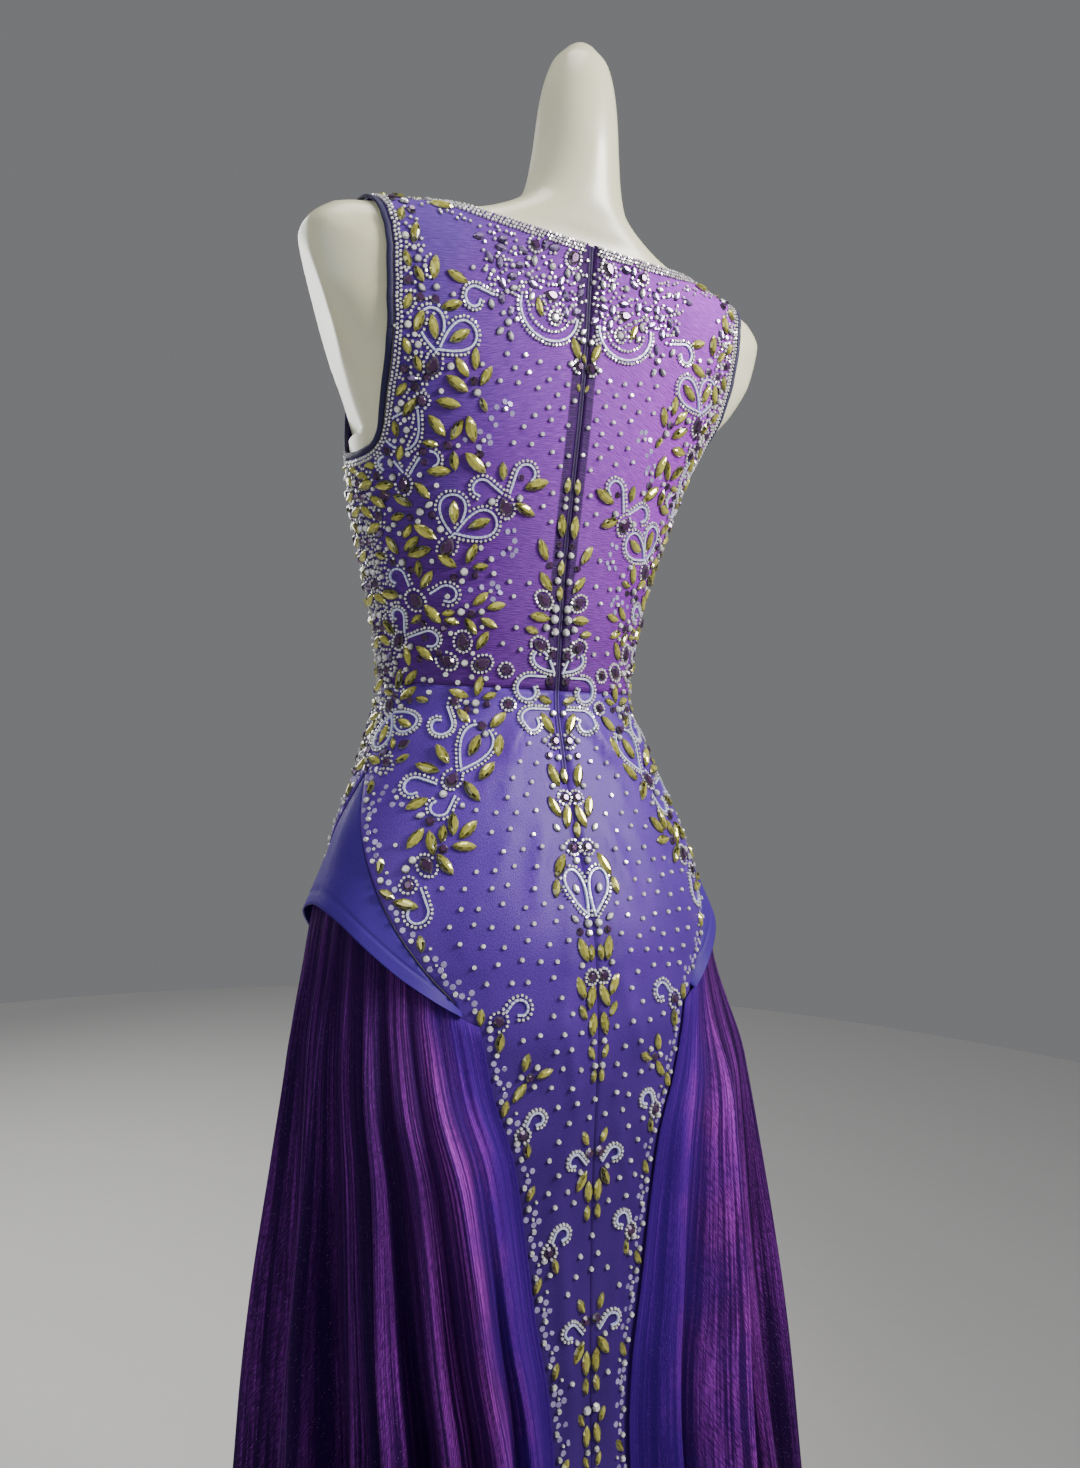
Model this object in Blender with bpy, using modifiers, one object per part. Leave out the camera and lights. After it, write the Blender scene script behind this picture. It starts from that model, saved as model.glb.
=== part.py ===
# A mermaid gown with a beaded sheer bodice, flat hip yokes and gathered overskirts,
# worn by a limbless dress form on a pole with a round base.
# Metres, +Z up, origin on the floor under the form. The gown's back faces +Y and
# the wearer's left is +X.
import math

import bmesh
import bpy
import numpy as np
from mathutils import Vector

# Heights above the floor
WAIST = 1.100
UNDERARM = 1.276
YOKE_APEX = 1.028
YOKE_TIP = 0.855
YOKE_SIDE_EDGE = 0.925
ZIP_END = 1.0285
KNEE = 0.440
HEM = 0.005

# Cloth
SEAM_GAP = 0.0003
FORM_GAP = 0.0018
MESH_WALL = 0.0015
SATIN_WALL = 0.0015
TULLE_WALL = 0.0012
ZIP_WIDTH = 0.005
ZIP_WALL = 0.0012
ZIP_TOP_GAP = 0.0005
BINDING_WALL = 0.0026
BINDING_START = 0.0008
BINDING_WIDTH = 0.0050
STONE_RISE = 0.0028
STONE_SHARE = (0.60, 0.88)
STONE_ROOM = 0.0075

# Hip yokes: how they stand off at their lower edge, how their seam and lower edge
# bow, how fast they come away from the hip, and what share of a tip is left off
YOKE_STANDOFF_TIP = 0.0065
YOKE_STANDOFF_SIDE = 0.0125
YOKE_SEAM_BOW = 0.92
YOKE_EDGE_BOW = 1.25
YOKE_FLARE = 1.3
YOKE_TIP_CUT = 0.035

# Overskirts: how far they tuck under the yokes, how their edges lie on the panels,
# and how the cloth comes away from the hip and folds
OVERSKIRT_HEM = 0.006
OVERSKIRT_TUCK = 0.030
TUCK_SHARE = 0.30
TIP_DROP = 0.003
TIP_DROP_START = 0.35
TIP_DROP_RUN = 0.50
LAP_GAP = 0.0010
LAP_GAP_HEM = 0.0050
FALL_START = 0.010
FALL_RUN = 0.12
EDGE_SWELL = 0.16
EDGE_FADE = 0.05
FOLD_GROWTH = 0.075
GATHER_DEPTH = 0.0016
EVEN_GATHER = 0.0008
VALLEY_SHARE = 0.70
FLANK_SHARE = 0.15
END_SHARE = 0.30

# Sampling
NORMAL_STEP = 0.0005
NORMAL_TURN = 0.4
SEAM_TURN = 0.5
BISECTIONS = 40
SMOOTH_LIMIT = 35

# Dress form and stand
FORM_FOOT = 0.600
FORM_ROUNDING = 0.030
FOOT_SHARE = 0.86
NECK_TIP = (0.0, 0.052, 1.624)
CAP_LOW_Z = 1.298
CAP_LOW_X = 0.1545
CAP_SLOPE = 0.45
CAP_UNDER_SLOPE = 3.0
CAP_TILT = 0.35
POLE_RADIUS = 0.0125
POLE_SIDES = 24
POLE_Y = 0.012
BASE_RADIUS = 0.165
BASE_SIDES = 36
BASE_HEIGHT = 0.014
BASE_BEVEL = 0.004
STAND_GAP = 0.0003

# The figure, one row for each ring: heights at the side, back and front, half
# width, y of the back, front and side, and how square the ring is
FIGURE = (
    (0.600, 0.600, 0.600, 0.144, 0.112, -0.084, 0.014, 2.2),
    (0.720, 0.720, 0.720, 0.158, 0.126, -0.090, 0.022, 2.2),
    (0.820, 0.820, 0.820, 0.171, 0.137, -0.094, 0.026, 2.2),
    (0.885, 0.885, 0.885, 0.175, 0.134, -0.096, 0.026, 2.2),
    (0.975, 0.975, 0.975, 0.159, 0.103, -0.095, 0.018, 2.2),
    (1.045, 1.045, 1.045, 0.130, 0.074, -0.089, 0.000, 2.2),
    (1.100, 1.100, 1.100, 0.113, 0.060, -0.085, -0.018, 2.2),
    (1.175, 1.175, 1.175, 0.125, 0.060, -0.094, -0.020, 2.2),
    (1.255, 1.250, 1.252, 0.146, 0.066, -0.102, -0.012, 2.3),
    (1.300, 1.286, 1.290, 0.156, 0.070, -0.100, 0.002, 2.4),
    (1.335, 1.314, 1.320, 0.174, 0.073, -0.090, 0.013, 2.5),
    (1.365, 1.338, 1.344, 0.197, 0.075, -0.080, 0.020, 2.7),
    (1.400, 1.366, 1.364, 0.214, 0.077, -0.064, 0.026, 2.8),
    (1.430, 1.392, 1.382, 0.218, 0.078, -0.048, 0.031, 2.8),
    (1.447, 1.414, 1.396, 0.201, 0.078, -0.034, 0.036, 2.7),
    (1.455, 1.436, 1.408, 0.163, 0.078, -0.021, 0.040, 2.5),
    (1.461, 1.456, 1.422, 0.122, 0.078, -0.006, 0.045, 2.2),
    (1.472, 1.470, 1.444, 0.081, 0.081, 0.010, 0.050, 2.1),
    (1.494, 1.492, 1.474, 0.046, 0.085, 0.017, 0.052, 2.0),
    (1.530, 1.529, 1.522, 0.037, 0.085, 0.018, 0.052, 2.0),
    (1.575, 1.575, 1.573, 0.032, 0.081, 0.021, 0.052, 2.0),
    (1.605, 1.605, 1.604, 0.024, 0.074, 0.029, 0.052, 2.0),
    (1.619, 1.619, 1.619, 0.012, 0.063, 0.040, 0.052, 2.0),
)

# The bust, as two soft rises on the front
BUST_X = 0.072
BUST_Z = 1.262
BUST_RISE = 0.022
BUST_SPREAD_X = 0.048
BUST_SPREAD_Z = 0.052
BUST_ONSET = 2.2

# Line of the skirt panels below the hips: height, half width, y of the back, front
# and side. Above the last row they follow the figure.
SKIRT_SQUARENESS = 2.2
PANEL_LINE = (
    (0.005, 0.300, 0.375, -0.185, 0.090),
    (0.150, 0.245, 0.275, -0.150, 0.060),
    (0.300, 0.205, 0.208, -0.126, 0.036),
    (0.440, 0.185, 0.172, -0.114, 0.024),
    (0.540, 0.177, 0.156, -0.108, 0.018),
    (0.640, 0.173, 0.147, -0.103, 0.020),
    (0.740, 0.172, 0.142, -0.100, 0.024),
    (0.830, 0.174, 0.141, -0.097, 0.026),
    (0.885, 0.175, 0.134, -0.096, 0.026),
)

# Line of the overskirts between their folds: height, half width, y of the back,
# front and side
OVERSKIRT_LINE = (
    (0.005, 0.318, 0.430, -0.215, 0.125),
    (0.150, 0.265, 0.345, -0.172, 0.106),
    (0.300, 0.222, 0.282, -0.142, 0.090),
    (0.440, 0.199, 0.240, -0.128, 0.076),
    (0.540, 0.195, 0.222, -0.124, 0.066),
    (0.640, 0.195, 0.205, -0.121, 0.056),
    (0.740, 0.194, 0.188, -0.118, 0.048),
    (0.800, 0.192, 0.175, -0.116, 0.042),
    (0.860, 0.188, 0.160, -0.112, 0.034),
    (0.930, 0.179, 0.140, -0.106, 0.026),
)

# Half width of the skirt panels that shows between the overskirts, by height
PANEL_SHOWN = (
    (0.005, 0.088),
    (0.150, 0.062),
    (0.300, 0.044),
    (0.440, 0.035),
    (0.520, 0.034),
    (0.575, 0.038),
    (0.630, 0.048),
    (0.710, 0.060),
    (0.750, 0.067),
    (0.800, 0.084),
    (0.855, 0.096),
)
PANEL_LAP = 0.012
LAP_RUN = 0.03

# Armholes: height, and half width of the figure at the back edge and the front edge
ARMHOLE = (
    (1.2760, 0.1520, 0.1520),
    (1.2800, 0.1480, 0.1470),
    (1.2900, 0.1465, 0.1430),
    (1.3100, 0.1490, 0.1380),
    (1.3500, 0.1560, 0.1350),
    (1.3900, 0.1610, 0.1370),
    (1.4200, 0.1640, 0.1440),
    (1.4400, 0.1660, 0.1560),
    (1.4485, 0.1690, 0.1650),
    (1.4515, 0.1710, 0.1690),
    (1.4530, 0.1735, 0.1735),
)
NECKLINE = 1.4605
SHOULDER_POINT = 1.4530

# Rows of the bodice above the underarm: height at the armhole, height at centre back
# or front, how far the row bends to the shoulder seam, and how evenly it is spaced
# by width instead of by angle
UPPER_ROWS = (
    (1.2795, 1.2810, 0.00, 0.00),
    (1.2900, 1.2940, 0.00, 0.10),
    (1.3090, 1.3130, 0.00, 0.40),
    (1.3340, 1.3370, 0.00, 0.80),
    (1.3610, 1.3630, 0.00, 1.00),
    (1.3890, 1.3900, 0.00, 1.00),
    (1.4130, 1.4140, 0.00, 1.00),
    (1.4310, 1.4330, 0.00, 1.00),
    (1.4420, 1.4450, 0.12, 1.00),
    (1.4482, 1.4520, 0.40, 1.00),
    (1.4511, 1.4562, 0.70, 1.00),
    (1.4523, 1.4586, 0.90, 1.00),
    (1.4528, 1.4598, 0.98, 1.00),
    (1.4530, 1.4605, 1.00, 1.00),
)
SIDE_ROWS = 9
LOWER_ROWS = 6
MIDDLE_ROWS = 10
UPPER_SKIRT_ROWS = 8
WAIST_ROWS = 4
ZIP_FOOT_ROW = 0.002
YOKE_COLUMNS = 14
YOKE_CELLS = 5
PANEL_BACK_COLUMNS = 7
PANEL_FRONT_COLUMNS = 16
ZIP_ROWS = 24
BACK_COLUMNS = 11
FRONT_HALF_COLUMNS = 12
SHOULDER_COLUMNS = 3
NECK_EASE = 0.18

# Folds of an overskirt from its back edge to its front edge: place of the crest
# along the gathered edge, how far it stands out at the hem, and the height where it
# reaches half of that
FOLDS = (
    (0.050, 0.020, 0.62),
    (0.115, 0.034, 0.74),
    (0.185, 0.028, 0.56),
    (0.260, 0.038, 0.68),
    (0.330, 0.024, 0.50),
    (0.405, 0.036, 0.72),
    (0.480, 0.030, 0.60),
    (0.560, 0.038, 0.70),
    (0.635, 0.024, 0.52),
    (0.710, 0.034, 0.66),
    (0.785, 0.028, 0.58),
    (0.860, 0.034, 0.70),
    (0.940, 0.020, 0.60),
)
OVERSKIRT_ROWS = (1.0, 0.965, 0.91, 0.83, 0.72, 0.57, 0.39, 0.20, 0.0)

# Rings of the form below the underarm and above the shoulders, and their angles over
# a quarter turn
FORM_BODY_ROWS = [0.70, 0.79, 0.86, 0.90, 0.935, 0.967, 0.996, 1.022, 1.048, 1.074, 1.10]
FORM_BODY_ROWS += [1.13, 1.165, 1.20, 1.23, 1.254]
FORM_NECK_ROWS = [1.4568, 1.4605, 1.472, 1.494, 1.530, 1.575, 1.605, 1.619]
FORM_ANGLES = [0, 16, 32, 47, 60, 71, 81]

# Sprays of large stones: panel, place across and up the panel from 0 to 1, and
# number of leaf stones on each side of the spray
SPRAYS = (
    ("bodice_back", 0.16, 0.94, 1),
    ("bodice_back", 0.48, 0.95, 1),
    ("bodice_back", 0.80, 0.94, 1),
    ("bodice_back", 0.86, 0.76, 2),
    ("bodice_back", 0.80, 0.58, 2),
    ("bodice_back", 0.52, 0.46, 2),
    ("bodice_back", 0.22, 0.34, 2),
    ("bodice_back", 0.58, 0.22, 2),
    ("bodice_back", 0.84, 0.34, 2),
    ("bodice_back", 0.18, 0.08, 1),
    ("bodice_back", 0.84, 0.08, 1),
    ("bodice_back", 0.50, 0.06, 1),
    ("skirt_back", 0.12, 0.965, 1),
    ("skirt_back", 0.62, 0.955, 2),
    ("skirt_back", 0.18, 0.905, 2),
    ("skirt_back", 0.80, 0.860, 2),
    ("skirt_back", 0.22, 0.845, 2),
    ("skirt_back", 0.24, 0.790, 1),
    ("skirt_back", 0.82, 0.775, 1),
    ("skirt_back", 0.76, 0.690, 1),
    ("skirt_back", 0.60, 0.600, 1),
    ("skirt_back", 0.30, 0.545, 1),
    ("skirt_back", 0.30, 0.430, 1),
    ("bodice_front", 0.10, 0.50, 2),
    ("bodice_front", 0.90, 0.50, 2),
    ("bodice_front", 0.50, 0.95, 2),
    ("bodice_front", 0.34, 0.72, 1),
    ("bodice_front", 0.66, 0.72, 1),
    ("bodice_front", 0.28, 0.28, 2),
    ("bodice_front", 0.72, 0.28, 2),
    ("bodice_front", 0.50, 0.30, 1),
    ("bodice_front", 0.50, 0.08, 2),
    ("skirt_front", 0.30, 0.955, 1),
    ("skirt_front", 0.70, 0.955, 1),
    ("skirt_front", 0.50, 0.900, 2),
    ("skirt_front", 0.50, 0.800, 2),
    ("skirt_front", 0.50, 0.660, 1),
)


class Curve:
    """A smooth curve through table values that never swings past them."""

    def __init__(self, places, values):
        self.places = np.array(places, float)
        self.values = np.array(values, float)
        step = np.diff(self.places)
        rise = np.diff(self.values) / step
        self.slopes = np.zeros(len(values))
        self.slopes[0] = rise[0]
        self.slopes[-1] = rise[-1]
        for i in range(1, len(values) - 1):
            if rise[i - 1] * rise[i] > 0:
                before = 2 * step[i] + step[i - 1]
                after = step[i] + 2 * step[i - 1]
                self.slopes[i] = (before + after) / (before / rise[i - 1] + after / rise[i])

    def __call__(self, place):
        place = min(max(place, self.places[0]), self.places[-1])
        i = min(int(np.searchsorted(self.places, place, side="right")) - 1, len(self.places) - 2)
        span = self.places[i + 1] - self.places[i]
        t = (place - self.places[i]) / span
        return (
            (1 + 2 * t) * (1 - t) ** 2 * self.values[i]
            + t * (1 - t) ** 2 * span * self.slopes[i]
            + t * t * (3 - 2 * t) * self.values[i + 1]
            + t * t * (t - 1) * span * self.slopes[i + 1]
        )


def columns(table):
    """One curve for each column of a table, over its first column."""
    places = [row[0] for row in table]
    return [Curve(places, [row[k] for row in table]) for k in range(1, len(table[0]))]


FIGURE_CURVES = columns(FIGURE)
PANEL_CURVES = columns(PANEL_LINE)
OVERSKIRT_CURVES = columns(OVERSKIRT_LINE)
PANEL_SHOWN_CURVE = columns(PANEL_SHOWN)[0]
ARMHOLE_BACK, ARMHOLE_FRONT = columns(ARMHOLE)


def smooth_step(value):
    value = min(max(value, 0.0), 1.0)
    return value * value * (3 - 2 * value)


def ring_point(angle, half_width, back_y, front_y, side_y, square):
    """A point of a ring; the angle is 0 at centre back and 90 at the wearer's left."""
    turn = math.radians(angle)
    depth = back_y - side_y if math.cos(turn) >= 0 else side_y - front_y
    across = half_width * math.sin(turn)
    along = depth * math.cos(turn)
    length = math.hypot(across, along)
    ux = across / length
    uy = along / length
    reach = (abs(ux / half_width) ** square + abs(uy / depth) ** square) ** (-1 / square)
    return reach * ux, side_y + reach * uy


def figure_point(height, angle):
    """A point of the figure; the height is the one the ring has at the side."""
    back_z, front_z, half_width, back_y, front_y, side_y, square = (
        curve(height) for curve in FIGURE_CURVES
    )
    x, y = ring_point(angle, half_width, back_y, front_y, side_y, square)
    cosine = math.cos(math.radians(angle))
    end = back_z if cosine >= 0 else front_z
    z = height + (end - height) * cosine * cosine
    if cosine < 0:
        away_z = math.exp(-(((z - BUST_Z) / BUST_SPREAD_Z) ** 2))
        away_x = math.exp(-(((abs(x) - BUST_X) / BUST_SPREAD_X) ** 2))
        y -= BUST_RISE * away_z * away_x * smooth_step(-cosine * BUST_ONSET)
    return Vector((x, y, z))


def panel_point(height, angle):
    """A point of the skirt panels' line: the figure, then the hang below the hips."""
    if height >= PANEL_LINE[-1][0]:
        return figure_point(height, angle)
    x, y = ring_point(angle, *(curve(height) for curve in PANEL_CURVES), SKIRT_SQUARENESS)
    return Vector((x, y, height))


def surface_normal(surface, height, angle):
    """The outward direction of a surface of heights and angles."""
    along = surface(height, angle + NORMAL_TURN) - surface(height, angle - NORMAL_TURN)
    up = surface(height + NORMAL_STEP, angle) - surface(height - NORMAL_STEP, angle)
    return up.cross(along).normalized()


def raised(surface, height, angle, distance):
    return surface(height, angle) + surface_normal(surface, height, angle) * distance


def angle_at_width(surface, height, half_width, front=False):
    """The angle on the left side where a ring has the given half width."""
    low, high = (90.0, 180.0) if front else (0.0, 90.0)
    for _ in range(BISECTIONS):
        middle = (low + high) / 2
        wider = surface(height, middle).x > half_width
        if wider != front:
            high = middle
        else:
            low = middle
    return (low + high) / 2


def add_material(name, colour, roughness, metallic=0.0):
    material = bpy.data.materials.new(name)
    material.use_nodes = True
    shader = material.node_tree.nodes["Principled BSDF"]
    shader.inputs["Base Color"].default_value = (*colour, 1.0)
    shader.inputs["Roughness"].default_value = roughness
    shader.inputs["Metallic"].default_value = metallic
    return material


def add_object(name, mesh, material):
    obj = bpy.data.objects.new(name, mesh)
    mesh.materials.append(material)
    bpy.data.collections["mermaid_gown_on_form"].objects.link(obj)
    return obj


def mesh_from(bm, name):
    bmesh.ops.recalc_face_normals(bm, faces=bm.faces[:])
    mesh = bpy.data.meshes.new(name)
    bm.to_mesh(mesh)
    bm.free()
    return mesh


def stone_cells(panel, across, up):
    """The cells of a panel's outer grid that carry a raised leaf stone."""
    cells = set()
    for name, place_across, place_up, leaves in SPRAYS:
        if name != panel:
            continue
        i = int(round(place_across * (across - 1)))
        j = int(round(place_up * (up - 1)))
        cells.add((i, j))
        for leaf in range(1, leaves + 1):
            cells.add((i - leaf, j + leaf))
            cells.add((i + leaf, j + leaf))
            if leaves > 1:
                cells.add((i + leaf, j - leaf))
                cells.add((i - leaf, j - leaf))
    return {(i, j) for i, j in cells if 0 < i < across - 1 and 0 < j < up - 1}


def add_stone(bm, corners, below):
    """A cut stone on one cell of a wall's outer side, away from the point below it."""
    centre = sum((corner.co for corner in corners), Vector()) / 4
    along = (corners[1].co + corners[2].co - corners[0].co - corners[3].co) / 4
    up = (corners[2].co + corners[3].co - corners[0].co - corners[1].co) / 4
    out = (centre - below).normalized() * STONE_RISE
    top = []
    for side_along, side_up in ((0, -1), (1, 0), (0, 1), (-1, 0)):
        place = centre + out
        place = place + along * (side_along * STONE_SHARE[0]) + up * (side_up * STONE_SHARE[1])
        top.append(bm.verts.new(place))
    for k in range(4):
        bm.faces.new((corners[k], corners[(k + 1) % 4], top[k]))
        bm.faces.new((corners[k], top[k], top[k - 1]))
    bm.faces.new(top)


def diagonal(corners, out, proud=True):
    """The first corner of the diagonal that stands prouder, or lies lower, along out."""
    first = (corners[0].co + corners[2].co).dot(out)
    second = (corners[1].co + corners[3].co).dot(out)
    return 0 if (first >= second) == proud else 1


def add_split(bm, corners, start):
    """Two triangles for a cell, split along the diagonal from the given corner."""
    ring = corners[start:] + corners[:start]
    bm.faces.new((ring[0], ring[1], ring[2]))
    bm.faces.new((ring[0], ring[2], ring[3]))


def is_roomy(corners):
    """Whether a cell is wide and tall enough for a stone."""
    sides = ((corners[k].co - corners[k - 1].co).length for k in range(4))
    return min(sides) > STONE_ROOM


def add_wall(name, material, inner, outer, stones=(), closed=False):
    """A cloth wall between two grids of points, indexed [across][up]."""
    bm = bmesh.new()
    inside = [[bm.verts.new(point) for point in row] for row in inner]
    outside = [[bm.verts.new(point) for point in row] for row in outer]
    across = len(inside)
    up = len(inside[0])
    spans = across if closed else across - 1
    for i in range(spans):
        k = (i + 1) % across
        for j in range(up - 1):
            corners = [outside[i][j], outside[k][j], outside[k][j + 1], outside[i][j + 1]]
            under = [inside[i][j], inside[k][j], inside[k][j + 1], inside[i][j + 1]]
            out = sum((a.co - b.co for a, b in zip(corners, under)), Vector())
            start = diagonal(under, out)
            add_split(bm, under, start)
            if (i, j) in stones and is_roomy(corners):
                add_stone(bm, corners, sum((corner.co for corner in under), Vector()) / 4)
            else:
                add_split(bm, corners, start)
        bm.faces.new((inside[i][0], inside[k][0], outside[k][0], outside[i][0]))
        bm.faces.new((inside[i][-1], outside[i][-1], outside[k][-1], inside[k][-1]))
    if not closed:
        for j in range(up - 1):
            bm.faces.new((inside[0][j], outside[0][j], outside[0][j + 1], inside[0][j + 1]))
            bm.faces.new((inside[-1][j], inside[-1][j + 1], outside[-1][j + 1], outside[-1][j]))
    return add_object(name, mesh_from(bm, name), material)


def wall_on(name, material, surface, places, gap, wall, stones=(), closed=False):
    """A wall that follows a surface; places are (height, angle) indexed [across][up]."""
    inner = []
    outer = []
    for row in places:
        inner.append([raised(surface, height, angle, gap) for height, angle in row])
        outer.append([raised(surface, height, angle, gap + wall) for height, angle in row])
    return add_wall(name, material, inner, outer, stones, closed)


def spread(low, high, count):
    return [low + (high - low) * k / (count - 1) for k in range(count)]


def seam_angle(surface, height, angle, distance):
    """The turn that moves a point of a surface sideways by the given distance."""
    step = surface(height, angle + SEAM_TURN) - surface(height, angle - SEAM_TURN)
    return distance * 2 * SEAM_TURN / step.length


def armhole_angle(height, front=False):
    """Where the bodice ends at one height: the side seam, armhole or shoulder seam."""
    if height <= UNDERARM or height >= SHOULDER_POINT:
        return 90.0
    half_width = ARMHOLE_FRONT(height) if front else ARMHOLE_BACK(height)
    return angle_at_width(figure_point, height, half_width, front)


def bodice_place(row, column, across, start, front=False):
    """Height and angle of a bodice grid point on the left side, from the centre out."""
    edge_height, centre_height, bend, even = row
    share = column / across
    neck_share = (across - SHOULDER_COLUMNS) / across
    slope = max(share - neck_share, 0.0) / (1 - neck_share)
    straight = SHOULDER_POINT + (NECKLINE - SHOULDER_POINT) * (1 - share)
    top_height = NECKLINE + (SHOULDER_POINT - NECKLINE) * slope
    height = edge_height + (centre_height - edge_height) * (1 - share)
    height += bend * (top_height - straight)
    centre = 180.0 if front else 0.0
    first = angle_at_width(figure_point, height, start, front) if start else centre
    last = armhole_angle(edge_height, front)
    out = -1 if front else 1
    last -= out * seam_angle(figure_point, edge_height, last, SEAM_GAP / 2)
    if bend == 1 and share >= neck_share:
        return height, 90.0 - out * seam_angle(figure_point, height, 90.0, SEAM_GAP / 2)
    by_angle = first + (last - first) * share
    if even == 0 or column in (0, across):
        return height, by_angle
    edge_x = figure_point(edge_height, last).x
    neck_x = figure_point(NECKLINE, 90.0).x
    level = min(share / neck_share, 1.0)
    offset = neck_x - figure_point(SHOULDER_POINT, 90.0).x * neck_share
    width = start + (edge_x - start) * share
    width += bend * offset * min(level, (1 - share) / (1 - neck_share))
    width += bend * neck_x * NECK_EASE * math.sin(math.pi * level)
    by_width = angle_at_width(figure_point, height, width, front)
    return height, by_angle + (by_width - by_angle) * even


def bodice_rows():
    """Rows of the bodice, closer where the armhole turns."""
    heights = spread(WAIST + SEAM_GAP / 2, UNDERARM, SIDE_ROWS)
    side = [(height, height, 0.0, 0.0) for height in heights]
    return side + list(UPPER_ROWS)


def build_bodice_backs(material):
    rows = bodice_rows()
    start = ZIP_WIDTH / 2 + SEAM_GAP
    for name, side in (("bodice_back_left", 1), ("bodice_back_right", -1)):
        places = []
        for column in range(BACK_COLUMNS + 1):
            line = [bodice_place(row, column, BACK_COLUMNS, start) for row in rows]
            places.append([(height, side * angle) for height, angle in line])
        stones = stone_cells("bodice_back", BACK_COLUMNS, len(rows) - 1)
        wall_on(name, material, figure_point, places, FORM_GAP, MESH_WALL, stones)


def build_bodice_front(material):
    half = FRONT_HALF_COLUMNS
    rows = bodice_rows()
    places = []
    for column in range(half, -half - 1, -1):
        line = [bodice_place(row, abs(column), half, 0.0, front=True) for row in rows]
        if column < 0:
            line = [(height, 360 - angle) for height, angle in line]
        places.append(line)
    stones = stone_cells("bodice_front", 2 * half, len(rows) - 1)
    wall_on("bodice_front", material, figure_point, places, FORM_GAP, MESH_WALL, stones)


def build_zip(material):
    heights = spread(ZIP_END, NECKLINE - ZIP_TOP_GAP, ZIP_ROWS)
    places = []
    for share in (-1, 1):
        row = []
        for height in heights:
            row.append((height, share * angle_at_width(figure_point, height, ZIP_WIDTH / 2)))
        places.append(row)
    wall_on("zip_tape", material, figure_point, places, FORM_GAP, ZIP_WALL)


def build_armhole_bindings(material):
    """Bindings that stand just inside the armhole edges."""
    rows = [UNDERARM] + [row[0] for row in UPPER_ROWS]
    edge = [(height, armhole_angle(height)) for height in rows]
    edge += [(height, armhole_angle(height, front=True)) for height in rows[-2:0:-1]]
    points = [figure_point(height, angle) for height, angle in edge]
    inner = []
    outer = []
    for k, (height, angle) in enumerate(edge):
        out = surface_normal(figure_point, height, angle)
        inward = out.cross(points[(k + 1) % len(points)] - points[k - 1]).normalized()
        ends = [points[k] + inward * reach for reach in (BINDING_START, BINDING_START + BINDING_WIDTH)]
        inner.append([end + out * FORM_GAP for end in ends])
        outer.append([end + out * (FORM_GAP + BINDING_WALL) for end in ends])
    mirror = Vector((-1, 1, 1))
    add_wall("armhole_binding_left", material, inner, outer, closed=True)
    inner = [[point * mirror for point in row] for row in inner]
    outer = [[point * mirror for point in row] for row in outer]
    add_wall("armhole_binding_right", material, inner, outer, closed=True)


def yoke_tip_angle():
    """Where the back tip of a yoke meets the skirt panel and the overskirt."""
    return angle_at_width(panel_point, YOKE_TIP, PANEL_SHOWN_CURVE(YOKE_TIP))


def yoke_seam_angle(height):
    """The V seam between a skirt panel and a hip yoke, on the back left."""
    tip = yoke_tip_angle()
    share = min(max((height - YOKE_TIP) / (YOKE_APEX - YOKE_TIP), 0.0), 1.0)
    return tip + (90.0 - tip) * share ** YOKE_SEAM_BOW


def yoke_seam_height(angle):
    """The same seam as a height for each angle from the back tip to the side."""
    tip = yoke_tip_angle()
    share = min(max((angle - tip) / (90.0 - tip), 0.0), 1.0)
    return YOKE_TIP + (YOKE_APEX - YOKE_TIP) * share ** (1 / YOKE_SEAM_BOW)


def yoke_edge_height(share):
    """The free lower edge of a yoke, from its back tip at 0 to its front tip at 1."""
    return YOKE_TIP + (YOKE_SIDE_EDGE - YOKE_TIP) * math.sin(math.pi * share) ** YOKE_EDGE_BOW


def panel_angle(height, front=False):
    """Where a skirt panel ends: side seam, V seam, or under the overskirt's edge."""
    if height >= YOKE_APEX:
        return 90.0
    if height >= YOKE_TIP:
        angle = yoke_seam_angle(height)
        return 180.0 - angle if front else angle
    lap = PANEL_LAP * smooth_step((YOKE_TIP - height) / LAP_RUN)
    return angle_at_width(panel_point, height, PANEL_SHOWN_CURVE(height) + lap, front)


def skirt_heights():
    """Rows of the skirt panels, with one just under the foot of the zip."""
    lower = spread(HEM, KNEE, LOWER_ROWS)
    middle = spread(KNEE, YOKE_TIP, MIDDLE_ROWS)[1:]
    upper = spread(YOKE_TIP, YOKE_APEX, UPPER_SKIRT_ROWS)[1:-1]
    above = spread(YOKE_APEX, WAIST - SEAM_GAP / 2, WAIST_ROWS)
    return lower + middle + upper + [YOKE_APEX - ZIP_FOOT_ROW] + above


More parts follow.
